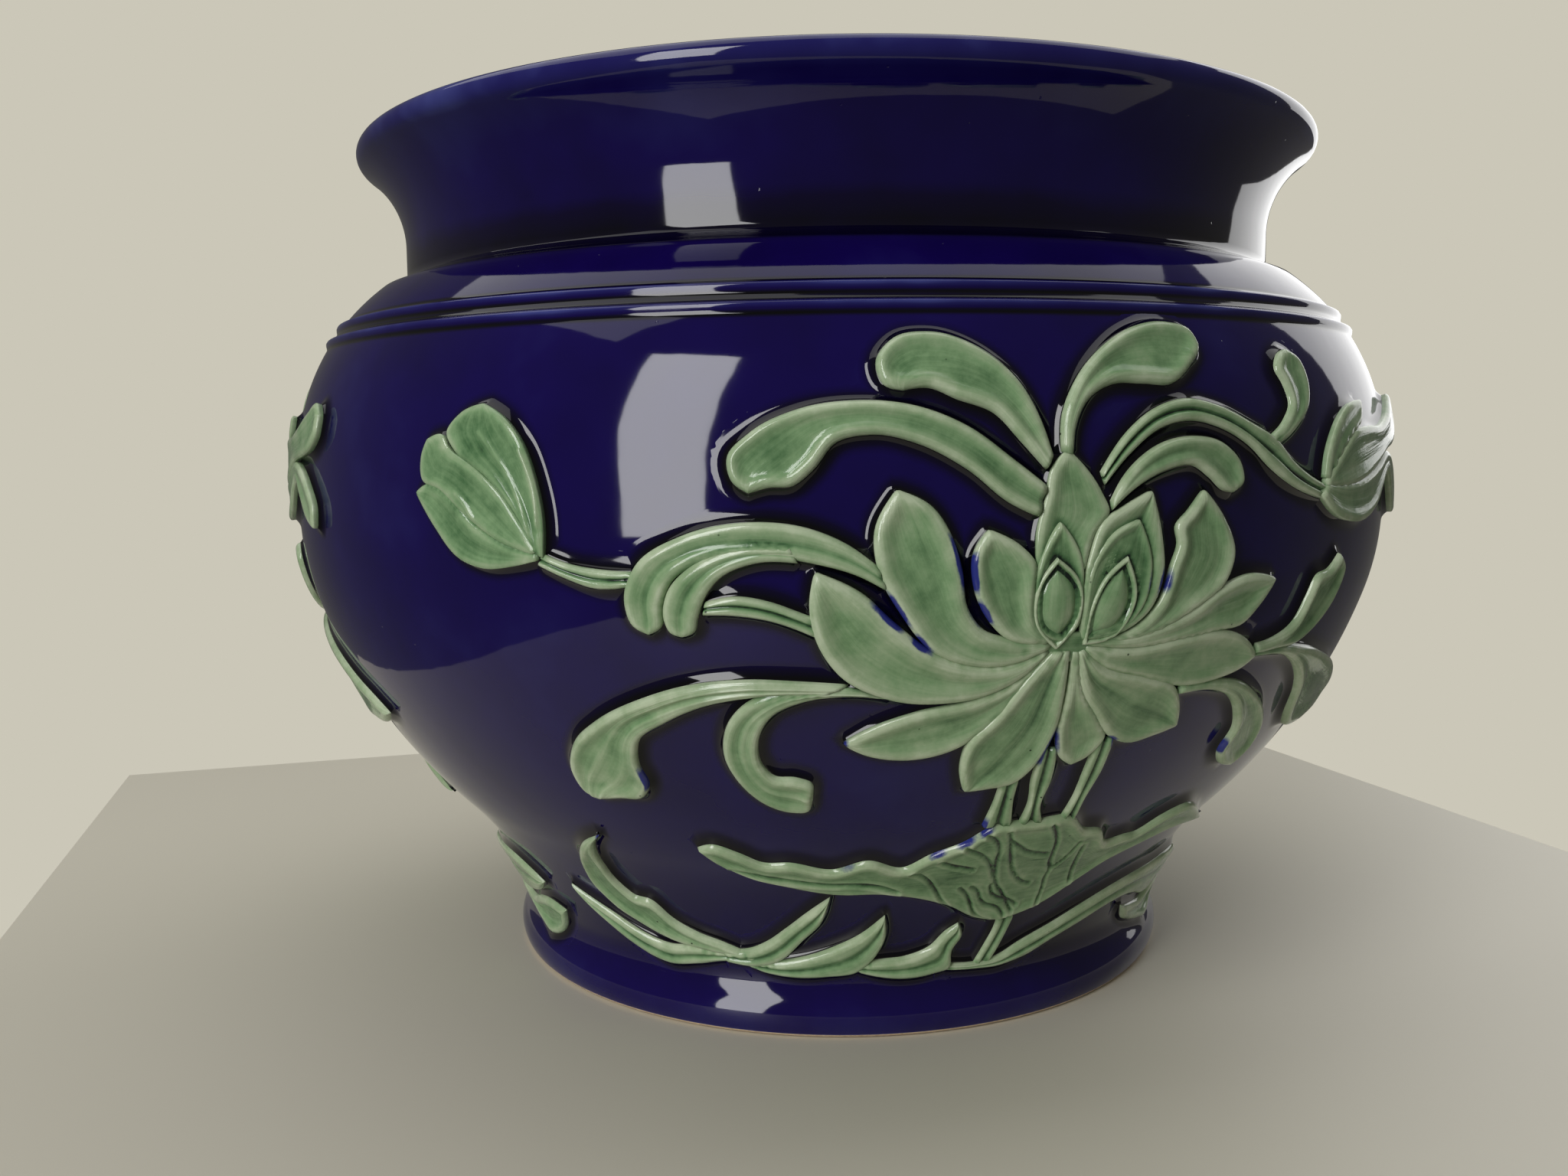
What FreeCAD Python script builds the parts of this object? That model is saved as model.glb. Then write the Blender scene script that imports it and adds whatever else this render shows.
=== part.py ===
import FreeCAD, Part
import math
import os
import Sketcher
from FreeCAD import Base

Vector = FreeCAD.Vector
os.makedirs("parts", exist_ok=True)
doc = FreeCAD.newDocument("flower_pot")

# Sizes of the pot in millimetres. The wall's meridian is a chain of arcs that run smoothly into
# one another, from the foot to the lip, and each rises from where the one below it ends.
sheet = doc.addObject("Spreadsheet::Sheet", "Sizes")
SIZES = (
    ("foot_round", 9.0, "radius of the foot's roll"),
    ("foot_roll_height", 5.0, "height of the foot's widest line"),
    ("foot_flare", 3.3, "how far the foot's roll stands out beyond the sweep above it"),
    ("foot_edge_round", 2.5, "rounding of the edge that the pot stands on"),
    ("foot_ring_width", 9.0, "width of the ring that touches the ground"),
    ("foot_recess", 5.0, "how far the underside lies above the ground"),
    ("hollow_rise", 15.0, "from the foot's widest line up to the hollow sweep"),
    ("waist_sweep", 98.5, "radius of the hollow sweep above the foot"),
    ("waist_rise", 35.0, "from there up to the lower belly"),
    ("lower_sweep", 169.0, "radius of the lower belly"),
    ("lower_rise", 66.0, "from there up to the flank"),
    ("flank_sweep", 78.5, "radius of the flank, just under the widest line"),
    ("flank_rise", 25.0, "from there up to the belly's widest line"),
    ("belly_radius", 175.5, "widest radius of the belly"),
    ("crown_sweep", 400.0, "radius of the nearly upright belly above its widest line"),
    ("crown_rise", 17.5, "from the widest line up to the shoulder"),
    ("shoulder_sweep", 67.5, "radius of the shoulder"),
    ("shoulder_rise", 51.8, "from there up to the shoulder's crisp upper edge"),
    ("collar_ledge", 6.7, "from that edge in to the collar"),
    ("collar_fillet", 5.0, "hollow fillet at the foot of the collar"),
    ("neck_sweep", 30.0, "radius of the hollow under the lip"),
    ("lip_overhang", 13.9, "how far the lip stands out beyond the collar"),
    ("lip_rise", 40.1, "from the shoulder's edge up to the lip's widest line"),
    ("lip_round", 3.5, "radius of the lip's outer roll"),
    ("wall", 8.0, "thickness of the cast wall"),
    ("floor_thickness", 9.0, "thickness of the floor"),
    ("floor_round", 14.0, "rounding between floor and wall inside"),
    ("bead_drop", 13.7, "from the shoulder's edge down to the upper bead"),
    ("bead_spacing", 4.6, "from the upper bead down to the lower one"),
    ("bead_round", 2.0, "radius of a bead's section"),
    ("bead_rise", 1.2, "how far a bead stands out of the shoulder"),
    ("field_drop", 3.0, "from the hollow sweep's start down to the relief's base line"),
    ("field_gap", 5.0, "from the lower bead down to the top of the relief's field"),
    ("relief", 3.5, "how far the upper leaves and petals stand out of the wall"),
    ("relief_under", 2.7, "how far those that lie under them stand out"),
    ("overrun", 4.0, "how far a cutting shape passes the face that it cuts"),
    ("joint_tolerance", 1e-6, "ends nearer than this meet without a line between them"),
    ("motif_count", 3, "how many times the plant is repeated round the pot"),
)
for row, (alias, value, note) in enumerate(SIZES, start=1):
    sheet.set("A%d" % row, note)
    sheet.set("B%d" % row, str(value))
    sheet.setAlias("B%d" % row, alias)
doc.recompute()


def size(alias):
    return float(sheet.get(alias))


# The wall's meridian. An arc is (centre radius, centre height, radius, lower turn, upper turn):
# a turn is the angle of the outward normal above the level, and the radius is negative where
# the wall is hollow, so that one formula gives every point and moving the face out by a
# distance only adds it to the radius.
def arc_point(arc, turn, out=0.0):
    reach = arc[2] + out
    return (arc[0] + reach * math.cos(turn), arc[1] + reach * math.sin(turn))


def arc_through(point, radius, turn):
    return (point[0] - radius * math.cos(turn), point[1] - radius * math.sin(turn))


def next_turn(turn, radius, rise):
    return math.asin(math.sin(turn) + rise / radius)


waist_level = size("foot_roll_height") + size("hollow_rise")
belly_level = waist_level + size("waist_rise") + size("lower_rise") + size("flank_rise")
shoulder_edge = belly_level + size("crown_rise") + size("shoulder_rise")
lip_height = shoulder_edge + size("lip_rise")

belly = (size("belly_radius"), belly_level)
crown_turn = next_turn(0.0, size("crown_sweep"), size("crown_rise"))
crown = arc_through(belly, size("crown_sweep"), 0.0) + (size("crown_sweep"), 0.0, crown_turn)
shoulder_turn = next_turn(crown_turn, size("shoulder_sweep"), size("shoulder_rise"))
shoulder_start = arc_point(crown, crown_turn)
shoulder_centre = arc_through(shoulder_start, size("shoulder_sweep"), crown_turn)
shoulder = shoulder_centre + (size("shoulder_sweep"), crown_turn, shoulder_turn)

flank_turn = next_turn(0.0, size("flank_sweep"), -size("flank_rise"))
flank = arc_through(belly, size("flank_sweep"), 0.0) + (size("flank_sweep"), flank_turn, 0.0)
lower_turn = next_turn(flank_turn, size("lower_sweep"), -size("lower_rise"))
lower_centre = arc_through(arc_point(flank, flank_turn), size("lower_sweep"), flank_turn)
lower = lower_centre + (size("lower_sweep"), lower_turn, flank_turn)
waist_turn = next_turn(lower_turn, -size("waist_sweep"), -size("waist_rise"))
waist_centre = arc_through(arc_point(lower, lower_turn), -size("waist_sweep"), lower_turn)
waist = waist_centre + (-size("waist_sweep"), waist_turn, lower_turn)

# The small hollow between the sweep and the foot's roll touches both.
waist_start = arc_point(waist, waist_turn)
roll_radius = waist_start[0] + size("foot_flare") - size("foot_round")
roll_centre = (roll_radius, size("foot_roll_height"))
away = (waist_start[0] - roll_centre[0], waist_start[1] - roll_centre[1])
away_along = away[0] * math.cos(waist_turn) + away[1] * math.sin(waist_turn)
away_square = away[0] ** 2 + away[1] ** 2
hollow_round = (away_square - size("foot_round") ** 2) / (2 * (size("foot_round") - away_along))
hollow_centre = arc_through(waist_start, -hollow_round, waist_turn)
roll_turn = math.asin((hollow_centre[1] - roll_centre[1]) / (hollow_round + size("foot_round")))
hollow = hollow_centre + (-hollow_round, roll_turn, waist_turn)
edge_reach = size("foot_round") - size("foot_edge_round")
edge_drop = size("foot_roll_height") - size("foot_edge_round")
edge_turn = -math.asin(edge_drop / edge_reach)
roll = roll_centre + (size("foot_round"), edge_turn, roll_turn)
edge_centre = (roll_centre[0] + edge_reach * math.cos(edge_turn), size("foot_edge_round"))
foot_edge = edge_centre + (size("foot_edge_round"), -math.pi / 2, edge_turn)

# The collar stands on the shoulder's edge, and its hollow sweep runs out into the lip.
collar_radius = arc_point(shoulder, shoulder_turn)[0] - size("collar_ledge")
fillet_centre = (collar_radius + size("collar_fillet"), shoulder_edge + size("collar_fillet"))
fillet = fillet_centre + (-size("collar_fillet"), math.pi / 2, 0.0)
lip_centre = (collar_radius + size("lip_overhang") - size("lip_round"), lip_height)
neck_centre_radius = collar_radius + size("neck_sweep")
neck_span = size("neck_sweep") + size("lip_round")
neck_drop = math.sqrt(neck_span ** 2 - (neck_centre_radius - lip_centre[0]) ** 2)
neck_centre = (neck_centre_radius, lip_height - neck_drop)
lip_turn = -math.asin(neck_drop / neck_span)
neck = neck_centre + (-size("neck_sweep"), 0.0, lip_turn)
lip = lip_centre + (size("lip_round"), lip_turn, math.pi / 2)
lip_top = lip_height + size("lip_round")

# Inside, the wall keeps its thickness, and the brow rolls the lip's top over into the mouth.
inner_neck = size("neck_sweep") + size("wall")
brow_side = neck_centre[0] - lip_centre[0]
brow_rise = lip_top - neck_centre[1]
brow_round = (brow_side ** 2 + brow_rise ** 2 - inner_neck ** 2) / (2 * (brow_rise - inner_neck))
brow_centre = (lip_centre[0], lip_top - brow_round)
brow_turn = math.atan2(brow_centre[1] - neck_centre[1], brow_centre[0] - neck_centre[0])
brow = brow_centre + (brow_round, math.pi / 2, brow_turn)
mouth_neck = neck_centre + (inner_neck, brow_turn, math.pi)
mouth_radius = collar_radius - size("wall")


def face_height(arc, radius, out=0.0):
    return arc[1] + math.sqrt((arc[2] + out) ** 2 - (radius - arc[0]) ** 2)


floor_height = size("foot_recess") + size("floor_thickness")
inner_shoulder_height = face_height(shoulder, mouth_radius, -size("wall"))
inner_shoulder_turn = math.atan2(inner_shoulder_height - shoulder[1], mouth_radius - shoulder[0])
floor_centre_height = floor_height + size("floor_round")
floor_span = size("waist_sweep") + size("wall") + size("floor_round")
floor_turn = math.asin((waist[1] - floor_centre_height) / floor_span)
floor_corner_radius = waist[0] - floor_span * math.cos(floor_turn)
floor_corner = (floor_corner_radius, floor_centre_height, size("floor_round"))
WALL_ARCS = (roll, hollow, waist, lower, flank, crown, shoulder)


# Sketches of half sections, on the upright plane through the axis. A step is an arc with its
# turns and how far it is moved out, or a corner point that straight lines run to.
def add_outline(sketch, steps):
    ends = []
    for step in steps:
        if len(step) == 2:
            ends.append((step, step, None))
        else:
            arc, turn_from, turn_to, out = step[0], step[1], step[2], step[3]
            ends.append((arc_point(arc, turn_from, out), arc_point(arc, turn_to, out), step))
    pieces = []
    for index, (start, finish, step) in enumerate(ends):
        if step is not None:
            arc, reach = step[0], abs(step[0][2] + step[3])
            middle = arc_point(arc, (step[1] + step[2]) / 2, step[3])
            points = [Vector(p[0], p[1], 0) for p in (start, middle, finish)]
            number = sketch.addGeometry(Part.Arc(*points), False)
            pieces.append((number, 1, 2) if step[2] > step[1] else (number, 2, 1))
            if len(step) > 4:
                radius = sketch.addConstraint(Sketcher.Constraint("Radius", number, reach))
                sketch.setExpression("Constraints[%d]" % radius, step[4])
        following = ends[(index + 1) % len(ends)][0]
        if math.dist(finish, following) > size("joint_tolerance"):
            line = Part.LineSegment(Vector(*finish, 0), Vector(*following, 0))
            pieces.append((sketch.addGeometry(line, False), 1, 2))
    for index, (number, start, finish) in enumerate(pieces):
        other, other_start, _ = pieces[(index + 1) % len(pieces)]
        sketch.addConstraint(Sketcher.Constraint("Coincident", number, finish, other, other_start))


def add_sketch(body, name, steps):
    sketch = body.newObject("Sketcher::SketchObject", name)
    plane = [item for item in body.Origin.OriginFeatures if item.Role == "XZ_Plane"][0]
    sketch.AttachmentSupport = [(plane, "")]
    sketch.MapMode = "FlatFace"
    add_outline(sketch, steps)
    return sketch


def turn_round(body, kind, name, sketch):
    feature = body.newObject("PartDesign::" + kind, name)
    feature.Profile = sketch
    feature.ReferenceAxis = (sketch, ["V_Axis"])
    feature.Angle = 360.0
    return feature


# The body: one hollow cast from foot to lip, with two beads round its shoulder.
body = doc.addObject("PartDesign::Body", "pot_body")
body.Label = "pot_body"
outside_steps = (
    (0.0, 0.0),
    (foot_edge, foot_edge[3], foot_edge[4], 0.0, "Sizes.foot_edge_round"),
    (roll, roll[3], roll[4], 0.0, "Sizes.foot_round"),
    (hollow, hollow[3], hollow[4], 0.0),
    (waist, waist[3], waist[4], 0.0, "Sizes.waist_sweep"),
    (lower, lower[3], lower[4], 0.0, "Sizes.lower_sweep"),
    (flank, flank[3], flank[4], 0.0, "Sizes.flank_sweep"),
    (crown, crown[3], crown[4], 0.0, "Sizes.crown_sweep"),
    (shoulder, shoulder[3], shoulder[4], 0.0, "Sizes.shoulder_sweep"),
    (fillet, fillet[3], fillet[4], 0.0, "Sizes.collar_fillet"),
    (neck, neck[3], neck[4], 0.0, "Sizes.neck_sweep"),
    (lip, lip[3], lip[4], 0.0, "Sizes.lip_round"),
    (brow, brow[3], brow[4], 0.0),
    (0.0, arc_point(brow, brow_turn)[1]),
)
outside = add_sketch(body, "outside", outside_steps)
turned = turn_round(body, "Revolution", "turned_outside", outside)

inside_steps = (
    (0.0, floor_height),
    (floor_corner, -math.pi / 2, floor_turn, 0.0, "Sizes.floor_round"),
    (waist, floor_turn, waist[4], -size("wall"), "Sizes.waist_sweep + Sizes.wall"),
    (lower, lower[3], lower[4], -size("wall"), "Sizes.lower_sweep - Sizes.wall"),
    (flank, flank[3], flank[4], -size("wall"), "Sizes.flank_sweep - Sizes.wall"),
    (crown, crown[3], crown[4], -size("wall"), "Sizes.crown_sweep - Sizes.wall"),
    (shoulder, shoulder[3], inner_shoulder_turn, -size("wall"), "Sizes.shoulder_sweep - Sizes.wall"),
    (mouth_neck, math.pi, brow_turn, 0.0, "Sizes.neck_sweep + Sizes.wall"),
    (arc_point(mouth_neck, brow_turn)[0], lip_top + size("overrun")),
    (0.0, lip_top + size("overrun")),
)
inside = add_sketch(body, "inside", inside_steps)
hollowed = turn_round(body, "Groove", "hollowed_inside", inside)

recess_radius = foot_edge[0] - size("foot_ring_width")
recess_steps = (
    (0.0, -size("overrun")),
    (recess_radius, -size("overrun")),
    (recess_radius, 0.0),
    (recess_radius - size("foot_recess"), size("foot_recess")),
    (0.0, size("foot_recess")),
)
recess = add_sketch(body, "under_the_floor", recess_steps)
recessed = turn_round(body, "Groove", "recessed_foot", recess)

upper_bead_level = shoulder_edge - size("bead_drop")
lower_bead_level = upper_bead_level - size("bead_spacing")
bead_out = size("bead_rise") - size("bead_round")
upper_bead_sum = (
    "Sizes.foot_roll_height + Sizes.hollow_rise + Sizes.waist_rise + Sizes.lower_rise"
    " + Sizes.flank_rise + Sizes.crown_rise + Sizes.shoulder_rise - Sizes.bead_drop"
)
lower_bead_sum = upper_bead_sum + " - Sizes.bead_spacing"
for name, level, level_sum in (
    ("upper_bead", upper_bead_level, upper_bead_sum),
    ("lower_bead", lower_bead_level, lower_bead_sum),
):
    bead_turn = math.asin((level - shoulder[1]) / (shoulder[2] + bead_out))
    bead_at = arc_point(shoulder, bead_turn, bead_out)
    bead_sketch = body.newObject("Sketcher::SketchObject", name + "_section")
    bead_plane = [item for item in body.Origin.OriginFeatures if item.Role == "XZ_Plane"][0]
    bead_sketch.AttachmentSupport = [(bead_plane, "")]
    bead_sketch.MapMode = "FlatFace"
    circle = Part.Circle(Vector(bead_at[0], bead_at[1], 0), Vector(0, 0, 1), size("bead_round"))
    ring = bead_sketch.addGeometry(circle, False)
    bead_radius = bead_sketch.addConstraint(Sketcher.Constraint("Radius", ring, size("bead_round")))
    bead_sketch.setExpression("Constraints[%d]" % bead_radius, "Sizes.bead_round")
    bead_rise = bead_sketch.addConstraint(Sketcher.Constraint("DistanceY", -1, 1, ring, 3, level))
    bead_sketch.setExpression("Constraints[%d]" % bead_rise, level_sum)
    turn_round(body, "Revolution", name, bead_sketch)
doc.recompute()


# The relief. Each leaf, petal or stem lies between two edges that run from its root to its
# tip. Their points are shares: across the repeat of the plant, from the flower's centre line,
# and up the field, from the base line.
EDGE_SHARES = {
    "heart": (
        ((-0.034, 0.588), (-0.020, 0.603), (-0.004, 0.608), (0.012, 0.604), (0.028, 0.592)),
        ((-0.034, 0.588), (-0.020, 0.574), (-0.004, 0.568), (0.012, 0.573), (0.028, 0.592)),
    ),
    "seed_left": (
        ((-0.014, 0.600), (-0.027, 0.628), (-0.027, 0.667), (-0.018, 0.693)),
        ((-0.014, 0.600), (-0.004, 0.628), (-0.005, 0.667), (-0.018, 0.693)),
    ),
    "seed_right": (
        ((0.008, 0.603), (0.009, 0.640), (0.016, 0.672), (0.027, 0.691)),
        ((0.008, 0.603), (0.026, 0.611), (0.034, 0.645), (0.027, 0.691)),
    ),
    "pod_left": (
        ((-0.011, 0.596), (-0.026, 0.612), (-0.031, 0.655), (-0.029, 0.705), (-0.017, 0.750)),
        ((-0.009, 0.596), (-0.001, 0.615), (0.000, 0.660), (-0.004, 0.710), (-0.017, 0.750)),
    ),
    "pod_right": (
        ((0.004, 0.598), (0.002, 0.640), (0.006, 0.700), (0.020, 0.735), (0.037, 0.750)),
        ((0.006, 0.598), (0.030, 0.606), (0.044, 0.640), (0.047, 0.690), (0.037, 0.750)),
    ),
    "petal_back": (
        ((-0.030, 0.690), (-0.031, 0.735), (-0.025, 0.785), (-0.022, 0.815), (-0.012, 0.840)),
        (
            (0.000, 0.690), (0.006, 0.735), (0.015, 0.760),
            (0.010, 0.785), (0.000, 0.815), (-0.012, 0.840),
        ),
    ),
    "petal_pointed": (
        (
            (0.004, 0.597), (0.001, 0.640), (0.003, 0.700),
            (0.012, 0.748), (0.028, 0.768), (0.046, 0.786),
        ),
        (
            (0.006, 0.597), (0.030, 0.604), (0.050, 0.635),
            (0.056, 0.675), (0.053, 0.730), (0.046, 0.786),
        ),
    ),
    "petal_inner_left": (
        (
            (-0.022, 0.595), (-0.046, 0.605), (-0.060, 0.632),
            (-0.069, 0.670), (-0.070, 0.715), (-0.062, 0.742),
        ),
        (
            (-0.018, 0.600), (-0.029, 0.625), (-0.032, 0.660),
            (-0.033, 0.700), (-0.042, 0.720), (-0.062, 0.742),
        ),
    ),
    "petal_tall_left": (
        (
            (-0.018, 0.588), (-0.040, 0.571), (-0.070, 0.572), (-0.092, 0.590),
            (-0.113, 0.640), (-0.127, 0.695), (-0.129, 0.745), (-0.117, 0.793),
        ),
        (
            (-0.018, 0.596), (-0.048, 0.603), (-0.062, 0.614), (-0.074, 0.645),
            (-0.078, 0.690), (-0.085, 0.735), (-0.097, 0.772), (-0.117, 0.793),
        ),
    ),
    "petal_tall_right": (
        (
            (0.012, 0.597), (0.040, 0.606), (0.057, 0.640), (0.064, 0.690),
            (0.068, 0.715), (0.066, 0.738), (0.076, 0.760), (0.087, 0.785),
        ),
        (
            (0.012, 0.592), (0.055, 0.598), (0.085, 0.628), (0.108, 0.660),
            (0.114, 0.700), (0.104, 0.745), (0.087, 0.785),
        ),
    ),
    "petal_low_left": (
        (
            (-0.018, 0.582), (-0.030, 0.556), (-0.050, 0.532), (-0.085, 0.519), (-0.120, 0.527),
            (-0.150, 0.560), (-0.164, 0.605), (-0.168, 0.650), (-0.165, 0.692),
        ),
        (
            (-0.018, 0.586), (-0.045, 0.566), (-0.072, 0.570), (-0.095, 0.590),
            (-0.118, 0.627), (-0.138, 0.665), (-0.165, 0.692),
        ),
    ),
    "petal_side_upper": (
        (
            (0.010, 0.594), (0.050, 0.602), (0.085, 0.626),
            (0.108, 0.654), (0.135, 0.668), (0.160, 0.660),
        ),
        (
            (0.010, 0.590), (0.045, 0.583), (0.080, 0.588), (0.112, 0.596),
            (0.135, 0.603), (0.148, 0.628), (0.160, 0.660),
        ),
    ),
    "petal_side_lower": (
        (
            (0.008, 0.588), (0.045, 0.580), (0.085, 0.590),
            (0.118, 0.593), (0.145, 0.576), (0.163, 0.550),
        ),
        (
            (0.008, 0.584), (0.022, 0.562), (0.055, 0.540), (0.095, 0.520),
            (0.130, 0.524), (0.150, 0.534), (0.163, 0.550),
        ),
    ),
    "petal_blunt_right": (
        (
            (0.006, 0.584), (0.025, 0.556), (0.060, 0.537),
            (0.090, 0.515), (0.101, 0.485), (0.107, 0.455),
        ),
        (
            (0.004, 0.582), (0.012, 0.530), (0.028, 0.490), (0.045, 0.455),
            (0.066, 0.439), (0.088, 0.446), (0.107, 0.455),
        ),
    ),
    "petal_blunt_left": (
        (
            (-0.014, 0.584), (-0.030, 0.545), (-0.045, 0.497),
            (-0.062, 0.455), (-0.064, 0.415), (-0.058, 0.380),
        ),
        (
            (-0.004, 0.584), (-0.001, 0.520), (-0.001, 0.465), (-0.008, 0.420),
            (-0.020, 0.392), (-0.042, 0.383), (-0.058, 0.380),
        ),
    ),
    "petal_small_low": (
        ((0.000, 0.582), (0.002, 0.520), (0.003, 0.460), (0.010, 0.428), (0.022, 0.411)),
        (
            (0.004, 0.582), (0.014, 0.525), (0.032, 0.480),
            (0.042, 0.452), (0.034, 0.424), (0.022, 0.411),
        ),
    ),
    "petal_thin_left": (
        (
            (-0.016, 0.584), (-0.035, 0.545), (-0.060, 0.520),
            (-0.100, 0.502), (-0.128, 0.482), (-0.148, 0.460),
        ),
        (
            (-0.010, 0.582), (-0.028, 0.535), (-0.048, 0.482), (-0.075, 0.447),
            (-0.110, 0.436), (-0.135, 0.446), (-0.148, 0.460),
        ),
    ),
    "arching_lobe": (
        (
            (-0.180, 0.725), (-0.215, 0.722), (-0.240, 0.700), (-0.256, 0.665),
            (-0.259, 0.630), (-0.256, 0.615), (-0.248, 0.609),
        ),
        (
            (-0.175, 0.704), (-0.200, 0.704), (-0.222, 0.685), (-0.232, 0.660),
            (-0.237, 0.635), (-0.240, 0.616), (-0.248, 0.609),
        ),
    ),
    "arching_blade": (
        (
            (-0.128, 0.700), (-0.145, 0.726), (-0.170, 0.748), (-0.205, 0.755), (-0.245, 0.738),
            (-0.275, 0.700), (-0.284, 0.655), (-0.280, 0.622), (-0.270, 0.611),
        ),
        (
            (-0.122, 0.668), (-0.140, 0.688), (-0.165, 0.703), (-0.200, 0.712), (-0.232, 0.705),
            (-0.252, 0.680), (-0.259, 0.650), (-0.261, 0.622), (-0.270, 0.611),
        ),
    ),
    "long_blade": (
        (
            (-0.026, 0.798), (-0.045, 0.828), (-0.075, 0.872), (-0.105, 0.896), (-0.140, 0.903),
            (-0.175, 0.893), (-0.203, 0.866), (-0.217, 0.835), (-0.214, 0.805), (-0.204, 0.790),
        ),
        (
            (-0.031, 0.757), (-0.048, 0.774), (-0.075, 0.818), (-0.102, 0.848), (-0.130, 0.861),
            (-0.152, 0.852), (-0.166, 0.818), (-0.178, 0.799), (-0.192, 0.797), (-0.204, 0.790),
        ),
    ),
    "top_left_blade": (
        (
            (-0.022, 0.838), (-0.028, 0.875), (-0.042, 0.928), (-0.064, 0.966), (-0.095, 0.986),
            (-0.117, 0.978), (-0.128, 0.950), (-0.124, 0.922), (-0.112, 0.914),
        ),
        (
            (-0.026, 0.816), (-0.042, 0.852), (-0.058, 0.886),
            (-0.080, 0.903), (-0.097, 0.917), (-0.112, 0.914),
        ),
    ),
    "top_right_blade": (
        (
            (-0.016, 0.838), (-0.015, 0.880), (-0.003, 0.928), (0.018, 0.968), (0.045, 0.995),
            (0.072, 1.002), (0.090, 0.992), (0.094, 0.970), (0.084, 0.946),
        ),
        (
            (-0.008, 0.834), (-0.006, 0.868), (0.003, 0.900), (0.022, 0.921),
            (0.045, 0.922), (0.066, 0.922), (0.084, 0.946),
        ),
    ),
    "small_right_blade": (
        (
            (0.017, 0.775), (0.027, 0.808), (0.050, 0.844), (0.080, 0.856),
            (0.104, 0.846), (0.119, 0.818), (0.121, 0.793), (0.112, 0.780),
        ),
        (
            (0.018, 0.762), (0.034, 0.789), (0.058, 0.812), (0.078, 0.817),
            (0.092, 0.801), (0.103, 0.784), (0.112, 0.780),
        ),
    ),
    "bud_left_low": (
        (
            (-0.342, 0.705), (-0.362, 0.696), (-0.385, 0.692),
            (-0.405, 0.704), (-0.425, 0.743), (-0.443, 0.790),
        ),
        (
            (-0.342, 0.712), (-0.365, 0.722), (-0.392, 0.750),
            (-0.410, 0.785), (-0.427, 0.803), (-0.443, 0.790),
        ),
    ),
    "bud_left_middle": (
        (
            (-0.345, 0.712), (-0.372, 0.730), (-0.400, 0.765), (-0.420, 0.795),
            (-0.436, 0.808), (-0.437, 0.840), (-0.432, 0.862),
        ),
        (
            (-0.342, 0.715), (-0.352, 0.745), (-0.372, 0.795), (-0.395, 0.830),
            (-0.412, 0.850), (-0.418, 0.866), (-0.432, 0.862),
        ),
    ),
    "bud_left_back": (
        (
            (-0.345, 0.718), (-0.358, 0.765), (-0.380, 0.812), (-0.405, 0.845),
            (-0.413, 0.870), (-0.402, 0.895), (-0.384, 0.907),
        ),
        (
            (-0.338, 0.708), (-0.337, 0.750), (-0.342, 0.805),
            (-0.352, 0.855), (-0.368, 0.890), (-0.384, 0.907),
        ),
    ),
    "left_stem_outer": (
        ((-0.338, 0.712), (-0.320, 0.700), (-0.300, 0.694), (-0.278, 0.692)),
        ((-0.342, 0.696), (-0.324, 0.681), (-0.304, 0.669), (-0.278, 0.672)),
    ),
    "left_stem_inner": (
        ((-0.232, 0.655), (-0.215, 0.662), (-0.192, 0.655), (-0.176, 0.643), (-0.162, 0.632)),
        ((-0.234, 0.637), (-0.215, 0.637), (-0.192, 0.630), (-0.175, 0.618), (-0.160, 0.603)),
    ),
    "bud_right_back": (
        ((0.212, 0.795), (0.216, 0.830), (0.232, 0.872), (0.255, 0.897), (0.280, 0.904)),
        ((0.222, 0.790), (0.236, 0.828), (0.256, 0.855), (0.274, 0.876), (0.280, 0.904)),
    ),
    "bud_right_upper": (
        (
            (0.212, 0.790), (0.232, 0.825), (0.258, 0.858), (0.290, 0.866), (0.325, 0.868),
            (0.355, 0.882), (0.385, 0.905), (0.403, 0.917), (0.413, 0.900),
        ),
        (
            (0.212, 0.785), (0.240, 0.782), (0.275, 0.790), (0.310, 0.810), (0.343, 0.832),
            (0.375, 0.841), (0.398, 0.853), (0.411, 0.874), (0.413, 0.900),
        ),
    ),
    "bud_right_lower": (
        (
            (0.212, 0.786), (0.245, 0.784), (0.285, 0.792), (0.318, 0.810), (0.345, 0.828),
            (0.368, 0.818), (0.388, 0.792), (0.403, 0.757), (0.402, 0.727),
        ),
        (
            (0.206, 0.772), (0.228, 0.742), (0.255, 0.730), (0.285, 0.731), (0.312, 0.750),
            (0.335, 0.785), (0.350, 0.800), (0.366, 0.776), (0.386, 0.740), (0.402, 0.727),
        ),
    ),
    "right_stem": (
        (
            (0.010, 0.812), (0.028, 0.860), (0.050, 0.891), (0.075, 0.904), (0.100, 0.896),
            (0.130, 0.873), (0.155, 0.850), (0.172, 0.822), (0.198, 0.796), (0.216, 0.785),
        ),
        (
            (0.013, 0.795), (0.032, 0.836), (0.052, 0.864), (0.078, 0.875), (0.102, 0.866),
            (0.128, 0.842), (0.148, 0.812), (0.175, 0.784), (0.200, 0.769), (0.218, 0.762),
        ),
    ),
    "stem_curl": (
        (
            (0.143, 0.850), (0.165, 0.877), (0.173, 0.898), (0.170, 0.925),
            (0.165, 0.945), (0.171, 0.963), (0.183, 0.973),
        ),
        (
            (0.152, 0.838), (0.178, 0.865), (0.195, 0.895),
            (0.200, 0.930), (0.196, 0.960), (0.183, 0.973),
        ),
    ),
    "side_blade_up": (
        (
            (0.160, 0.566), (0.180, 0.572), (0.198, 0.590), (0.206, 0.625),
            (0.213, 0.655), (0.230, 0.664), (0.243, 0.684),
        ),
        (
            (0.160, 0.550), (0.185, 0.553), (0.210, 0.556), (0.232, 0.580),
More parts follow.
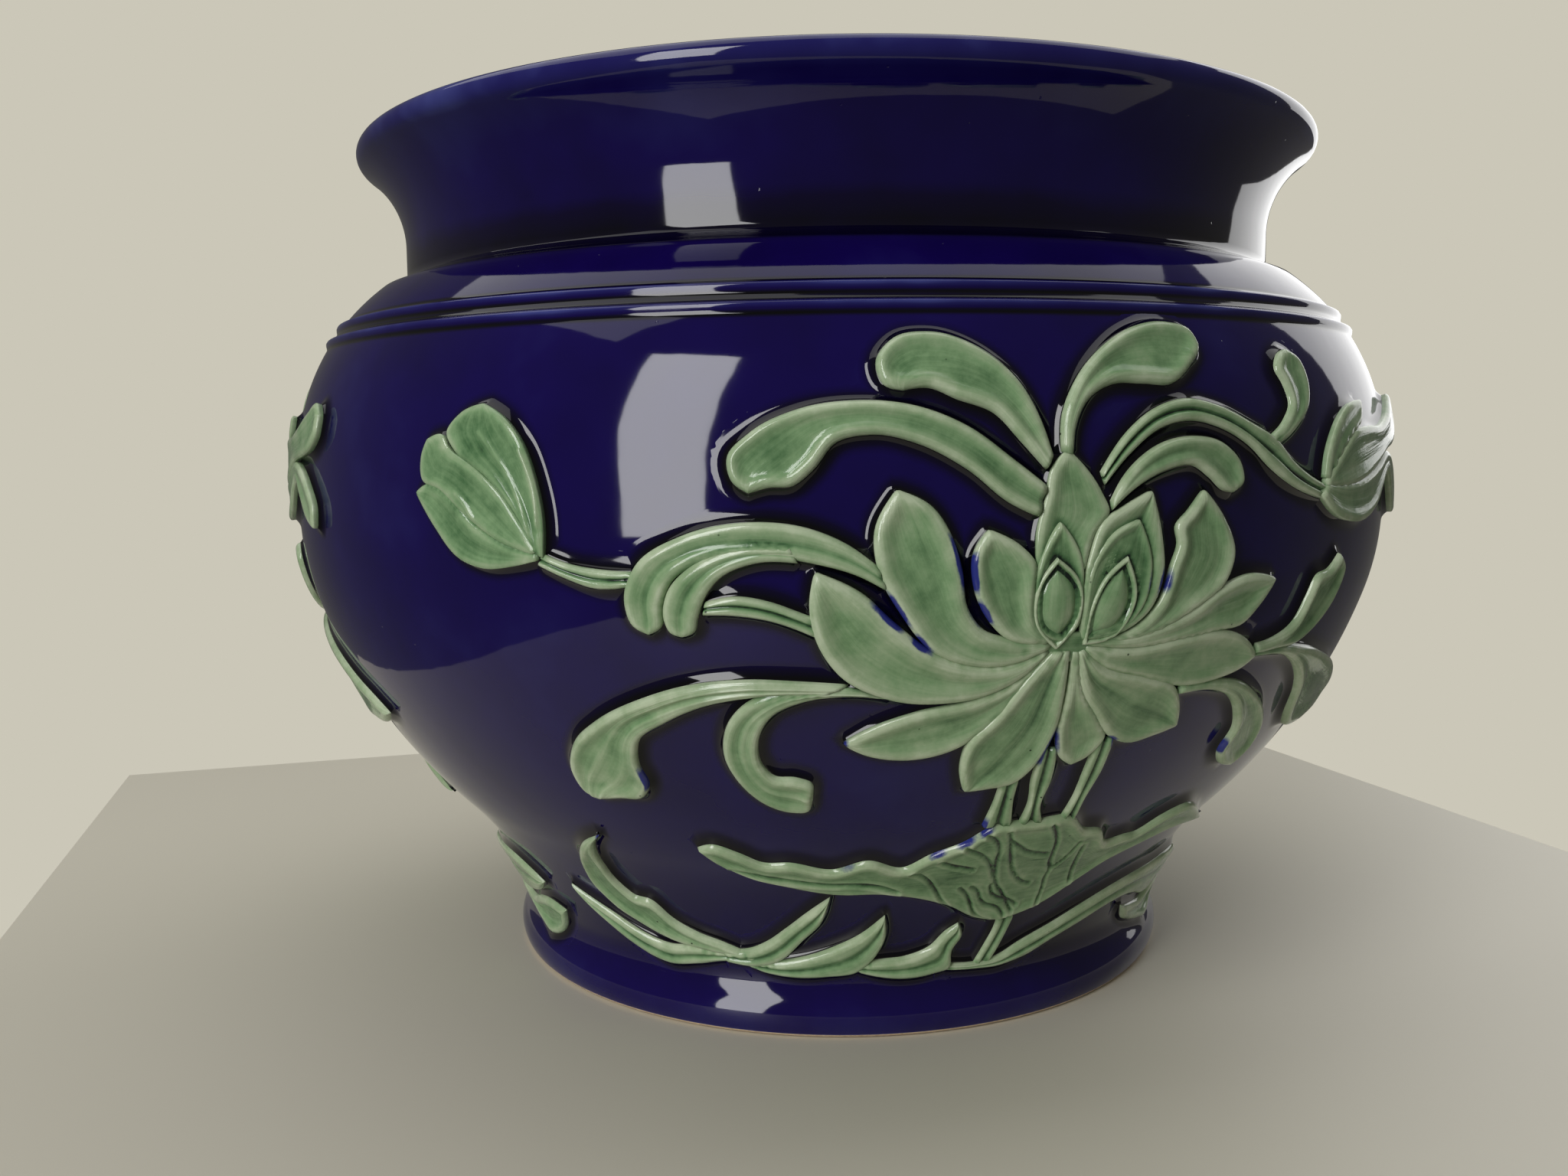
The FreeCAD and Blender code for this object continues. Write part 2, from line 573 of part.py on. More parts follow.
            (0.250, 0.625), (0.254, 0.665), (0.243, 0.684),
        ),
    ),
    "side_blade_long": (
        (
            (0.160, 0.554), (0.200, 0.556), (0.240, 0.545), (0.280, 0.525),
            (0.320, 0.503), (0.360, 0.472), (0.390, 0.447), (0.407, 0.425),
        ),
        (
            (0.160, 0.546), (0.205, 0.538), (0.235, 0.508), (0.256, 0.470), (0.268, 0.430),
            (0.285, 0.403), (0.315, 0.396), (0.350, 0.400), (0.385, 0.404), (0.407, 0.425),
        ),
    ),
    "side_blade_low": (
        (
            (0.095, 0.520), (0.130, 0.520), (0.155, 0.513), (0.185, 0.488),
            (0.210, 0.457), (0.227, 0.420), (0.230, 0.385), (0.216, 0.355),
        ),
        (
            (0.095, 0.504), (0.130, 0.503), (0.152, 0.488), (0.172, 0.455),
            (0.182, 0.425), (0.180, 0.395), (0.192, 0.370), (0.216, 0.355),
        ),
    ),
    "drooping_blade": (
        (
            (-0.145, 0.545), (-0.175, 0.549), (-0.210, 0.551), (-0.245, 0.543), (-0.285, 0.518),
            (-0.325, 0.479), (-0.350, 0.440), (-0.361, 0.395), (-0.357, 0.362), (-0.346, 0.350),
        ),
        (
            (-0.165, 0.532), (-0.205, 0.527), (-0.240, 0.512), (-0.270, 0.485), (-0.294, 0.452),
            (-0.299, 0.415), (-0.296, 0.385), (-0.304, 0.362), (-0.325, 0.356), (-0.346, 0.350),
        ),
    ),
    "drooping_curl": (
        (
            (-0.148, 0.543), (-0.185, 0.538), (-0.212, 0.518), (-0.228, 0.480), (-0.232, 0.435),
            (-0.225, 0.398), (-0.207, 0.361), (-0.188, 0.348), (-0.173, 0.352), (-0.171, 0.372),
        ),
        (
            (-0.115, 0.522), (-0.150, 0.528), (-0.175, 0.520), (-0.196, 0.498), (-0.206, 0.462),
            (-0.206, 0.430), (-0.198, 0.408), (-0.182, 0.405), (-0.170, 0.394), (-0.171, 0.372),
        ),
    ),
    "flower_stem_left": (
        ((-0.031, 0.398), (-0.031, 0.360), (-0.034, 0.314)),
        ((-0.016, 0.402), (-0.015, 0.360), (-0.008, 0.314)),
    ),
    "flower_stem_middle": (
        ((-0.006, 0.440), (-0.006, 0.390), (-0.001, 0.345), (-0.002, 0.314)),
        ((0.007, 0.440), (0.011, 0.390), (0.011, 0.345), (0.020, 0.314)),
    ),
    "flower_stem_right": (
        ((0.037, 0.448), (0.037, 0.400), (0.038, 0.345), (0.036, 0.314)),
        ((0.052, 0.448), (0.053, 0.400), (0.050, 0.345), (0.053, 0.300)),
    ),
    "pad": (
        (
            (-0.276, 0.270), (-0.262, 0.278), (-0.240, 0.265), (-0.220, 0.247), (-0.195, 0.248),
            (-0.157, 0.235), (-0.125, 0.253), (-0.092, 0.237), (-0.070, 0.262), (-0.045, 0.282),
            (-0.022, 0.312), (0.015, 0.316), (0.048, 0.316), (0.070, 0.287), (0.092, 0.278),
            (0.112, 0.249), (0.135, 0.252), (0.150, 0.253), (0.170, 0.276), (0.200, 0.289),
            (0.235, 0.270), (0.262, 0.248), (0.290, 0.230),
        ),
        (
            (-0.276, 0.270), (-0.262, 0.243), (-0.235, 0.217), (-0.195, 0.196), (-0.150, 0.182),
            (-0.110, 0.182), (-0.075, 0.171), (-0.035, 0.148), (0.000, 0.117), (0.028, 0.105),
            (0.060, 0.112), (0.090, 0.132), (0.118, 0.168), (0.140, 0.200), (0.170, 0.222),
            (0.205, 0.238), (0.250, 0.236), (0.290, 0.230),
        ),
    ),
    "pad_stalk": (
        ((0.033, 0.112), (0.034, 0.085), (0.028, 0.050), (0.018, 0.014)),
        ((0.056, 0.114), (0.054, 0.080), (0.049, 0.045), (0.040, 0.012)),
    ),
    "frond": (
        (
            (-0.285, 0.042), (-0.320, 0.046), (-0.355, 0.055), (-0.395, 0.080), (-0.427, 0.112),
            (-0.441, 0.155), (-0.434, 0.195), (-0.412, 0.238), (-0.374, 0.272),
        ),
        (
            (-0.285, 0.066), (-0.320, 0.078), (-0.350, 0.104), (-0.366, 0.133), (-0.390, 0.141),
            (-0.402, 0.172), (-0.400, 0.210), (-0.391, 0.243), (-0.374, 0.272),
        ),
    ),
    "runner_left": (
        (
            (-0.250, 0.045), (-0.290, 0.048), (-0.330, 0.050), (-0.365, 0.044),
            (-0.400, 0.056), (-0.440, 0.085), (-0.470, 0.106), (-0.495, 0.125),
        ),
        (
            (-0.250, 0.020), (-0.290, 0.026), (-0.325, 0.014), (-0.370, 0.002),
            (-0.410, 0.020), (-0.450, 0.054), (-0.480, 0.093), (-0.495, 0.125),
        ),
    ),
    "shoot_tall": (
        (
            (-0.290, 0.052), (-0.258, 0.056), (-0.235, 0.073),
            (-0.210, 0.103), (-0.182, 0.142), (-0.160, 0.172),
        ),
        (
            (-0.285, 0.026), (-0.245, 0.024), (-0.217, 0.041),
            (-0.192, 0.080), (-0.168, 0.124), (-0.160, 0.172),
        ),
    ),
    "shoot_middle": (
        (
            (-0.260, 0.038), (-0.225, 0.036), (-0.190, 0.047),
            (-0.155, 0.068), (-0.122, 0.098), (-0.101, 0.131),
        ),
        (
            (-0.262, 0.022), (-0.235, 0.008), (-0.205, 0.002), (-0.165, 0.006),
            (-0.125, 0.020), (-0.110, 0.042), (-0.097, 0.090), (-0.101, 0.131),
        ),
    ),
    "shoot_short": (
        (
            (-0.130, 0.034), (-0.100, 0.040), (-0.068, 0.045),
            (-0.042, 0.062), (-0.027, 0.090), (-0.014, 0.104),
        ),
        (
            (-0.132, 0.019), (-0.100, 0.003), (-0.068, -0.003), (-0.035, 0.003),
            (-0.012, 0.018), (-0.014, 0.050), (-0.006, 0.082), (-0.014, 0.104),
        ),
    ),
    "runner_right": (
        (
            (-0.020, 0.024), (0.020, 0.018), (0.050, 0.023), (0.080, 0.045), (0.120, 0.068),
            (0.160, 0.092), (0.200, 0.112), (0.240, 0.124), (0.290, 0.129), (0.340, 0.134),
            (0.375, 0.130), (0.402, 0.115), (0.425, 0.095),
        ),
        (
            (-0.020, 0.008), (0.020, 0.003), (0.055, 0.001), (0.090, 0.012), (0.130, 0.035),
            (0.170, 0.054), (0.210, 0.071), (0.250, 0.077), (0.290, 0.068), (0.325, 0.052),
            (0.365, 0.056), (0.400, 0.072), (0.425, 0.095),
        ),
    ),
    "drop_leaf": (
        (
            (0.275, 0.046), (0.305, 0.038), (0.340, 0.034),
            (0.370, 0.046), (0.410, 0.054), (0.447, 0.046),
        ),
        (
            (0.275, 0.046), (0.295, 0.014), (0.325, -0.006), (0.360, -0.020),
            (0.390, -0.027), (0.418, -0.012), (0.447, 0.046),
        ),
    ),
}

# The sprigs, each pressed as one piece and luted to the wall, in the order in which they lie
# over one another: what comes first is whole, and what comes later stops at its edge. Those
# marked as lying under stand out less.
SPRIGS = (
    ("flower", "relief", (
        "heart", "seed_left", "seed_right", "pod_left", "pod_right", "petal_pointed",
        "petal_inner_left", "petal_blunt_left", "petal_blunt_right", "petal_tall_left",
        "petal_side_lower", "petal_side_upper", "petal_tall_right", "petal_low_left",
        "petal_small_low", "petal_thin_left", "petal_back",
    )),
    ("arching_leaf", "relief", ("arching_lobe", "arching_blade")),
    ("long_leaf", "relief", ("long_blade",)),
    ("top_left_leaf", "relief", ("top_left_blade",)),
    ("top_right_leaf", "relief", ("top_right_blade",)),
    ("small_leaf", "relief", ("small_right_blade",)),
    ("left_bud", "relief", ("bud_left_middle", "bud_left_low", "bud_left_back", "left_stem_outer")),
    ("left_bud_stem", "relief_under", ("left_stem_inner",)),
    ("right_bud", "relief", ("bud_right_upper", "bud_right_lower", "bud_right_back")),
    ("right_bud_stem", "relief_under", ("right_stem", "stem_curl")),
    ("side_leaf", "relief", ("side_blade_up", "side_blade_long")),
    ("low_side_leaf", "relief", ("side_blade_low",)),
    ("drooping_leaf", "relief", ("drooping_blade", "drooping_curl")),
    ("lily_pad", "relief", (
        "pad", "flower_stem_left", "flower_stem_middle", "flower_stem_right",
    )),
    ("frond", "relief", ("frond",)),
    ("base_runner", "relief", (
        "shoot_tall", "shoot_middle", "shoot_short", "runner_left", "runner_right",
    )),
    ("pad_stem", "relief_under", ("pad_stalk",)),
    ("drop_leaf", "relief", ("drop_leaf",)),
)


# The field unrolled flat: along it lies the way round the belly, up it the height.
field_low = waist_level - size("field_drop")
field_high = lower_bead_level - size("field_gap")


def on_field(share):
    across = share[0] * 2 * math.pi / size("motif_count") * size("belly_radius")
    return Vector(across, field_low + share[1] * (field_high - field_low), 0)


def leaf_face(edges):
    lines = []
    for shares in edges:
        curve = Part.BSplineCurve()
        curve.interpolate([on_field(share) for share in shares])
        lines.append(curve.toShape())
    for end in (0, -1):
        if edges[0][end] != edges[1][end]:
            lines.append(Part.makeLine(on_field(edges[0][end]), on_field(edges[1][end])))
    face = Part.Face(Part.Wire(Part.__sortEdges__(lines)))
    if face.normalAt(0, 0).z < 0:
        face.reverse()
    return face


def joined(faces):
    if len(faces) > 1:
        faces = Part.Shell(faces[0].fuse(faces[1:]).Faces).removeSplitter().Faces
    return max(faces, key=lambda face: face.Area)


# Wrapping a flat face round the axis gives a plug with upright, radial sides, and what it
# shares with a layer of clay on the wall is the sprig.
def wrapped_edge(edge, drum):
    curve = edge.Curve.toBSpline(edge.FirstParameter, edge.LastParameter)
    poles = [
        Base.Vector2d(math.pi + pole.x / size("belly_radius"), pole.y) for pole in curve.getPoles()
    ]
    multiplicities, knots = curve.getMultiplicities(), curve.getKnots()
    flat = Part.Geom2d.BSplineCurve2d()
    flat.buildFromPolesMultsKnots(poles, multiplicities, knots, False, curve.Degree)
    return flat.toShape(drum)


def plug(face):
    inner_drum, outer_drum = Part.Cylinder(), Part.Cylinder()
    inner_drum.Radius = hollow_centre[0] - hollow_round - size("overrun")
    outer_drum.Radius = size("belly_radius") + size("relief") + size("overrun")
    edges = face.OuterWire.OrderedEdges
    inner = [wrapped_edge(edge, inner_drum) for edge in edges]
    outer = [wrapped_edge(edge, outer_drum) for edge in edges]
    faces = [Part.makeRuledSurface(low, high) for low, high in zip(inner, outer)]
    for drum, outline in ((inner_drum, inner), (outer_drum, outer)):
        cap = Part.Face(drum, Part.Wire(outline))
        cap.validate()
        faces.append(cap)
    shell = Part.makeShell(faces)
    shell.sewShape()
    solid = Part.makeSolid(shell)
    if solid.Volume < 0:
        solid.reverse()
    solid.rotate(Vector(), Vector(0, 0, 1), 90.0)
    return solid


def clay_layer(thickness):
    sides = []
    for out in (0.0, thickness):
        lines = []
        for arc in WALL_ARCS:
            middle = (arc[3] + arc[4]) / 2
            points = [arc_point(arc, turn, out) for turn in (arc[3], middle, arc[4])]
            through = [Vector(radius, 0, height) for radius, height in points]
            lines.append(Part.Arc(*through).toShape())
        sides.append(lines)
    inner, outer = sides
    bottom = Part.makeLine(inner[0].Vertexes[0].Point, outer[0].Vertexes[0].Point)
    top = Part.makeLine(inner[-1].Vertexes[-1].Point, outer[-1].Vertexes[-1].Point)
    section = Part.Face(Part.Wire(inner + [top] + outer[::-1] + [bottom]))
    section.rotate(Vector(), Vector(0, 0, 1), 180.0)
    return section.revolve(Vector(), Vector(0, 0, 1), 180.0)


layers = {level: clay_layer(size(level)) for level in ("relief", "relief_under")}
laid = []
motif = []
for sprig, level, members in SPRIGS:
    whole = joined([leaf_face(EDGE_SHARES[member]) for member in members])
    near = [other for other in laid if other.BoundBox.intersect(whole.BoundBox)]
    showing = joined(whole.cut(near).Faces) if near else whole
    laid.append(Part.Face(whole.OuterWire))
    motif.append((sprig, plug(showing).common(layers[level]).Solids[0]))

repeat_angle = 360.0 / size("motif_count")
sprigs = []
for repeat in range(int(size("motif_count"))):
    for sprig, shape in motif:
        node = doc.addObject("Part::Feature", "%s_%d" % (sprig, repeat + 1))
        node.Label = "%s_%d" % (sprig, repeat + 1)
        node.Shape = shape
        turned_by = FreeCAD.Rotation(Vector(0, 0, 1), repeat * repeat_angle)
        node.Placement = FreeCAD.Placement(Vector(), turned_by)
        sprigs.append(node)
doc.recompute()

# Nothing is written unless every feature and every piece is sound.
for item in doc.Objects:
    if "Invalid" in item.State or "Error" in item.State:
        raise RuntimeError("%s failed" % item.Label)
for piece in [body] + sprigs:
    if piece.Shape.isNull() or not piece.Shape.isValid():
        raise RuntimeError("%s has no sound shape" % piece.Label)
for piece in [body] + sprigs:
    piece.Shape.exportStep("parts/%s.step" % piece.Label)
    print("%-20s %3d solids %12.1f mm3" % (piece.Label, len(piece.Shape.Solids), piece.Shape.Volume))
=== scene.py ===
import math

import bmesh
import bpy
import numpy
from mathutils import Matrix, Vector, kdtree


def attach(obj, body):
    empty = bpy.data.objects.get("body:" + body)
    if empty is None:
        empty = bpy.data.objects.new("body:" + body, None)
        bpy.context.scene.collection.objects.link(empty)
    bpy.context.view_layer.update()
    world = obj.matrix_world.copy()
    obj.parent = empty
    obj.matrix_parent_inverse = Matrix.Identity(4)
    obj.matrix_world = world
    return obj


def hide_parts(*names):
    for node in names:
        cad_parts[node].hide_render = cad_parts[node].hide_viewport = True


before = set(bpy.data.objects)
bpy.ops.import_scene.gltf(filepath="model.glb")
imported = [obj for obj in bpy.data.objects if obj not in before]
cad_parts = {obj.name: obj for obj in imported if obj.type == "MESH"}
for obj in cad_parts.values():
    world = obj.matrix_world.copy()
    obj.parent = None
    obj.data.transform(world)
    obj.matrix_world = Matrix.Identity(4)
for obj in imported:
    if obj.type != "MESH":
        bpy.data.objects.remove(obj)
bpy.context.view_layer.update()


# The pot's body is one hollow earthenware cast: a rolled foot, a hollow waist, a round belly,
# a shoulder with two fine beads, a short collar and a turned-out lip. Its outline is a chain of
# arcs that run smoothly into one another, spun round the upright axis. Sizes are in metres.
FOOT_ROUND, FOOT_ROLL_HEIGHT, FOOT_FLARE, FOOT_EDGE = 0.009, 0.005, 0.0033, 0.0025
FOOT_RING_WIDTH, FOOT_RECESS = 0.009, 0.005
WAIST_SWEEP, LOWER_SWEEP, FLANK_SWEEP, CROWN_SWEEP, SHOULDER_SWEEP = 0.0985, 0.169, 0.0785, 0.400, 0.0675
HOLLOW_RISE, WAIST_RISE, LOWER_RISE, FLANK_RISE = 0.015, 0.035, 0.066, 0.025
CROWN_RISE, SHOULDER_RISE, LIP_RISE = 0.0175, 0.0518, 0.0401
BELLY_RADIUS, COLLAR_LEDGE, COLLAR_FILLET, NECK_SWEEP = 0.1755, 0.0067, 0.005, 0.030
LIP_OVERHANG, LIP_ROUND = 0.0139, 0.0035
WALL, FLOOR_THICKNESS, FLOOR_ROUND = 0.008, 0.009, 0.014
BEAD_DROP, BEAD_SPACING, BEAD_RISE, BEAD_HALF_WIDTH = 0.0137, 0.0046, 0.00125, 0.0020


# An arc is (centre radius, centre height, radius, first turn, last turn), up the outside and
# down the inside. A turn is the angle of the outward normal above the level, and the radius is
# negative where the wall is hollow.
def arc_point(arc, turn, out=0.0):
    return arc[0] + (arc[2] + out) * math.cos(turn), arc[1] + (arc[2] + out) * math.sin(turn)


def centre_behind(point, radius, turn):
    return point[0] - radius * math.cos(turn), point[1] - radius * math.sin(turn)


def next_turn(turn, radius, rise):
    return math.asin(math.sin(turn) + rise / radius)


waist_level = FOOT_ROLL_HEIGHT + HOLLOW_RISE
belly_level = waist_level + WAIST_RISE + LOWER_RISE + FLANK_RISE
shoulder_edge = belly_level + CROWN_RISE + SHOULDER_RISE
lip_level = shoulder_edge + LIP_RISE
bead_levels = (shoulder_edge - BEAD_DROP - BEAD_SPACING, shoulder_edge - BEAD_DROP)

belly = (BELLY_RADIUS, belly_level)
crown_turn = next_turn(0.0, CROWN_SWEEP, CROWN_RISE)
crown = centre_behind(belly, CROWN_SWEEP, 0.0) + (CROWN_SWEEP, 0.0, crown_turn)
shoulder_turn = next_turn(crown_turn, SHOULDER_SWEEP, SHOULDER_RISE)
shoulder_centre = centre_behind(arc_point(crown, crown_turn), SHOULDER_SWEEP, crown_turn)
shoulder = shoulder_centre + (SHOULDER_SWEEP, crown_turn, shoulder_turn)
flank_turn = next_turn(0.0, FLANK_SWEEP, -FLANK_RISE)
flank = centre_behind(belly, FLANK_SWEEP, 0.0) + (FLANK_SWEEP, flank_turn, 0.0)
lower_turn = next_turn(flank_turn, LOWER_SWEEP, -LOWER_RISE)
lower_centre = centre_behind(arc_point(flank, flank_turn), LOWER_SWEEP, flank_turn)
lower = lower_centre + (LOWER_SWEEP, lower_turn, flank_turn)
waist_turn = next_turn(lower_turn, -WAIST_SWEEP, -WAIST_RISE)
waist_centre = centre_behind(arc_point(lower, lower_turn), -WAIST_SWEEP, lower_turn)
waist = waist_centre + (-WAIST_SWEEP, waist_turn, lower_turn)

waist_start = arc_point(waist, waist_turn)
roll_centre = (waist_start[0] + FOOT_FLARE - FOOT_ROUND, FOOT_ROLL_HEIGHT)
across_roll, above_roll = waist_start[0] - roll_centre[0], waist_start[1] - roll_centre[1]
along_turn = across_roll * math.cos(waist_turn) + above_roll * math.sin(waist_turn)
roll_gap = across_roll ** 2 + above_roll ** 2 - FOOT_ROUND ** 2
hollow_round = roll_gap / (2 * (FOOT_ROUND - along_turn))
hollow_centre = centre_behind(waist_start, -hollow_round, waist_turn)
roll_turn = math.asin((hollow_centre[1] - roll_centre[1]) / (hollow_round + FOOT_ROUND))
hollow = hollow_centre + (-hollow_round, roll_turn, waist_turn)
edge_turn = -math.asin((FOOT_ROLL_HEIGHT - FOOT_EDGE) / (FOOT_ROUND - FOOT_EDGE))
roll = roll_centre + (FOOT_ROUND, edge_turn, roll_turn)
edge_centre_radius = roll_centre[0] + (FOOT_ROUND - FOOT_EDGE) * math.cos(edge_turn)
foot_edge = (edge_centre_radius, FOOT_EDGE, FOOT_EDGE, -math.pi / 2, edge_turn)

collar_radius = arc_point(shoulder, shoulder_turn)[0] - COLLAR_LEDGE
fillet = (collar_radius + COLLAR_FILLET, shoulder_edge + COLLAR_FILLET, -COLLAR_FILLET, math.pi / 2, 0.0)
lip_centre = (collar_radius + LIP_OVERHANG - LIP_ROUND, lip_level)
neck_span = NECK_SWEEP + LIP_ROUND
neck_drop = math.sqrt(neck_span ** 2 - (collar_radius + NECK_SWEEP - lip_centre[0]) ** 2)
neck_centre = (collar_radius + NECK_SWEEP, lip_level - neck_drop)
lip_turn = -math.asin(neck_drop / neck_span)
neck = neck_centre + (-NECK_SWEEP, 0.0, lip_turn)
lip = lip_centre + (LIP_ROUND, lip_turn, math.pi / 2)
lip_top = lip_level + LIP_ROUND
inner_neck = NECK_SWEEP + WALL
brow_side, brow_rise = neck_centre[0] - lip_centre[0], lip_top - neck_centre[1]
brow_round = (brow_side ** 2 + brow_rise ** 2 - inner_neck ** 2) / (2 * (brow_rise - inner_neck))
brow_centre = (lip_centre[0], lip_top - brow_round)
brow_turn = math.atan2(brow_centre[1] - neck_centre[1], brow_centre[0] - neck_centre[0])
brow = brow_centre + (brow_round, math.pi / 2, brow_turn)
mouth_neck = neck_centre + (inner_neck, brow_turn, math.pi)
mouth_radius = collar_radius - WALL
inner_reach = SHOULDER_SWEEP - WALL
inner_shoulder_turn = math.acos((mouth_radius - shoulder[0]) / inner_reach)
floor_height = FOOT_RECESS + FLOOR_THICKNESS
floor_span = WAIST_SWEEP + WALL + FLOOR_ROUND
floor_turn = math.asin((waist[1] - floor_height - FLOOR_ROUND) / floor_span)
floor_corner = (waist[0] - floor_span * math.cos(floor_turn), floor_height + FLOOR_ROUND, FLOOR_ROUND)
WALL_ARCS = (foot_edge, roll, hollow, waist, lower, flank, crown, shoulder)

# Each point of the outline is (radius, height, pooled): pooled is 0 where the melted glaze ran
# thin over an edge and 1 where it gathered in a hollow, and it sets how dark the blue fires.
# Over a bead it runs thin, and at the bead's foot it gathers.
WALL_SHARE, BEAD_THIN_SHARE, BEAD_FOOT_SHARE = 0.33, 0.32, 0.75
BEAD_CREST_SHARE, FOOT_PLACE_SHARE, FOOT_WIDTH_SHARE = 0.8, 1.05, 0.30
FINE_REACH, FINE_STEP, SHOULDER_STEP = 0.007, 0.0005, 0.0022
outline = []


def run_arc(arc, turn_from, turn_to, length, pooled, out=0.0):
    count = max(2, math.ceil(abs((arc[2] + out) * (turn_to - turn_from)) / length))
    for step in range(count):
        share = step / count
        point = arc_point(arc, turn_from + (turn_to - turn_from) * share, out)
        outline.append(point + (pooled[0] + (pooled[1] - pooled[0]) * share,))


def run_shoulder():
    middle = sum(bead_levels) / 2
    turn = crown_turn
    while turn < shoulder_turn:
        rise, pooled = 0.0, WALL_SHARE
        for bead_level in bead_levels:
            bead_turn = math.asin((bead_level - shoulder[1]) / SHOULDER_SWEEP)
            away = abs(turn - bead_turn) * SHOULDER_SWEEP / BEAD_HALF_WIDTH
            rise += BEAD_RISE * math.cos(min(away, 1.0) * math.pi / 2) ** 2
            pooled -= BEAD_THIN_SHARE * max(0.0, 1 - away / BEAD_CREST_SHARE)
            pooled += BEAD_FOOT_SHARE * math.exp(-((away - FOOT_PLACE_SHARE) / FOOT_WIDTH_SHARE) ** 2)
        outline.append(arc_point(shoulder, turn, rise) + (min(max(pooled, 0.0), 1.0),))
        near = abs(shoulder[1] + SHOULDER_SWEEP * math.sin(turn) - middle) < FINE_REACH
        turn += (FINE_STEP if near else SHOULDER_STEP) / SHOULDER_SWEEP


# Each stretch names its arc, its two turns, the length of one step, and how pooled the glaze is
# at its start and end. The wall's inside runs behind the outside's arcs.
outline.append((0.0, FOOT_RECESS, 0.0))
ring_inner = edge_centre_radius - FOOT_RING_WIDTH
outline.append((ring_inner - FOOT_RECESS, FOOT_RECESS, 0.0))
outline.append((ring_inner, 0.0, 0.0))
run_arc(foot_edge, foot_edge[3], foot_edge[4], 0.0004, (0.0, 0.0))
run_arc(roll, roll[3], roll[4], 0.0010, (0.26, 0.36))
run_arc(hollow, hollow[3], hollow[4], 0.0012, (0.36, 0.55))
run_arc(waist, waist[3], waist[4], 0.0020, (0.55, WALL_SHARE))
for arc in (lower, flank, crown):
    run_arc(arc, arc[3], arc[4], 0.0024, (WALL_SHARE, WALL_SHARE))
run_shoulder()
run_arc(fillet, fillet[3], fillet[4], 0.0008, (0.75, 0.85))
run_arc(neck, neck[3], neck[4], 0.0016, (0.42, 0.20))
run_arc(lip, lip[3], lip[4], 0.0008, (0.14, 0.08))
run_arc(brow, brow[3], brow[4], 0.0006, (0.08, 0.16))
run_arc(mouth_neck, brow_turn, math.pi, 0.0022, (0.2, 0.35))
run_arc(shoulder, inner_shoulder_turn, shoulder[3], 0.0056, (0.4, 0.4), -WALL)
run_arc(crown, crown[4], crown[3], 0.0056, (0.4, 0.4), -WALL)
run_arc(flank, flank[4], flank[3], 0.0056, (0.4, 0.4), -WALL)
run_arc(lower, lower[4], lower[3], 0.0065, (0.4, 0.4), -WALL)
run_arc(waist, waist[4], floor_turn, 0.0065, (0.4, 0.5), -WALL)
run_arc(floor_corner, floor_turn, -math.pi / 2, 0.0030, (0.6, 0.6))
outline.append((floor_corner[0], floor_height, 0.6))
outline.append((0.0, floor_height, 0.5))

# The outline is spun into the body. Its glaze is wiped from the foot's lowest millimetre and from
# the recess under it.
STEPS_ROUND, SAME_POINT, WIPED_HEIGHT, TOLERANCE, FACES_DOWN = 360, 1e-7, 0.0012, 0.0001, -0.5
body_mesh = bmesh.new()
pooled_layer = body_mesh.verts.layers.float.new("pooled")
chain = []
for radius, height, pooled in outline:
    vert = body_mesh.verts.new((0.0, -radius, height))
    vert[pooled_layer] = pooled
    chain.append(vert)
edges = [body_mesh.edges.new(pair) for pair in zip(chain, chain[1:])]
bmesh.ops.spin(body_mesh, geom=chain + edges, cent=(0, 0, 0), axis=(0, 0, 1), angle=math.tau,
               steps=STEPS_ROUND, use_merge=True)
bmesh.ops.remove_doubles(body_mesh, verts=body_mesh.verts, dist=SAME_POINT)
bmesh.ops.recalc_face_normals(body_mesh, faces=body_mesh.faces)
for face in body_mesh.faces:
    under_foot = face.calc_center_median().z < FOOT_RECESS + TOLERANCE and face.normal.z < FACES_DOWN
    wiped = max(vert.co.z for vert in face.verts) < WIPED_HEIGHT
    face.smooth = True
    face.material_index = 1 if wiped or under_foot else 0


def finished(mesh, name, materials):
    data = bpy.data.meshes.new(name)
    mesh.to_mesh(data)
    for material in materials:
        data.materials.append(material)
    piece = bpy.data.objects.new(name, data)
    bpy.context.scene.collection.objects.link(piece)
    return piece


# Colours are written as they look on a screen.
def linear(colour):
    channels = [int(colour[i:i + 2], 16) / 255 for i in (1, 3, 5)]
    return [value / 12.92 if value <= 0.04045 else ((value + 0.055) / 1.055) ** 2.4
            for value in channels] + [1.0]


def add_node(tree, kind, settings=(), links=()):
    node = tree.nodes.new(kind)
    for name, value in settings:
        if isinstance(name, int) or name in node.inputs:
            node.inputs[name].default_value = value
        else:
            setattr(node, name, value)
    for name, source in links:
        tree.links.new(source, node.inputs[name])
    return node


def scaled(tree, source, factor, shift=0.0, base=None):
    product = add_node(tree, "ShaderNodeMath", (("operation", "MULTIPLY_ADD"), (1, factor), (2, shift)),
                       ((0, source),)).outputs["Value"]
    if base is None:
        return product
    return add_node(tree, "ShaderNodeMath", (("operation", "ADD"), ("use_clamp", True)),
                    ((0, product), (1, base))).outputs["Value"]


def colour_stops(tree, source, stops):
    ramp = add_node(tree, "ShaderNodeValToRGB", (), (("Fac", source),))
    elements = ramp.color_ramp.elements
    for element, (position, colour) in zip((elements[0], elements[1]), (stops[0], stops[-1])):
        element.position, element.color = position, linear(colour)
    for position, colour in stops[1:-1]:
        elements.new(position).color = linear(colour)
    return ramp.outputs["Color"]


# A pattern's scale comes from the distance in millimetres between two of its marks.
def every(millimetres):
    return 1000 / millimetres


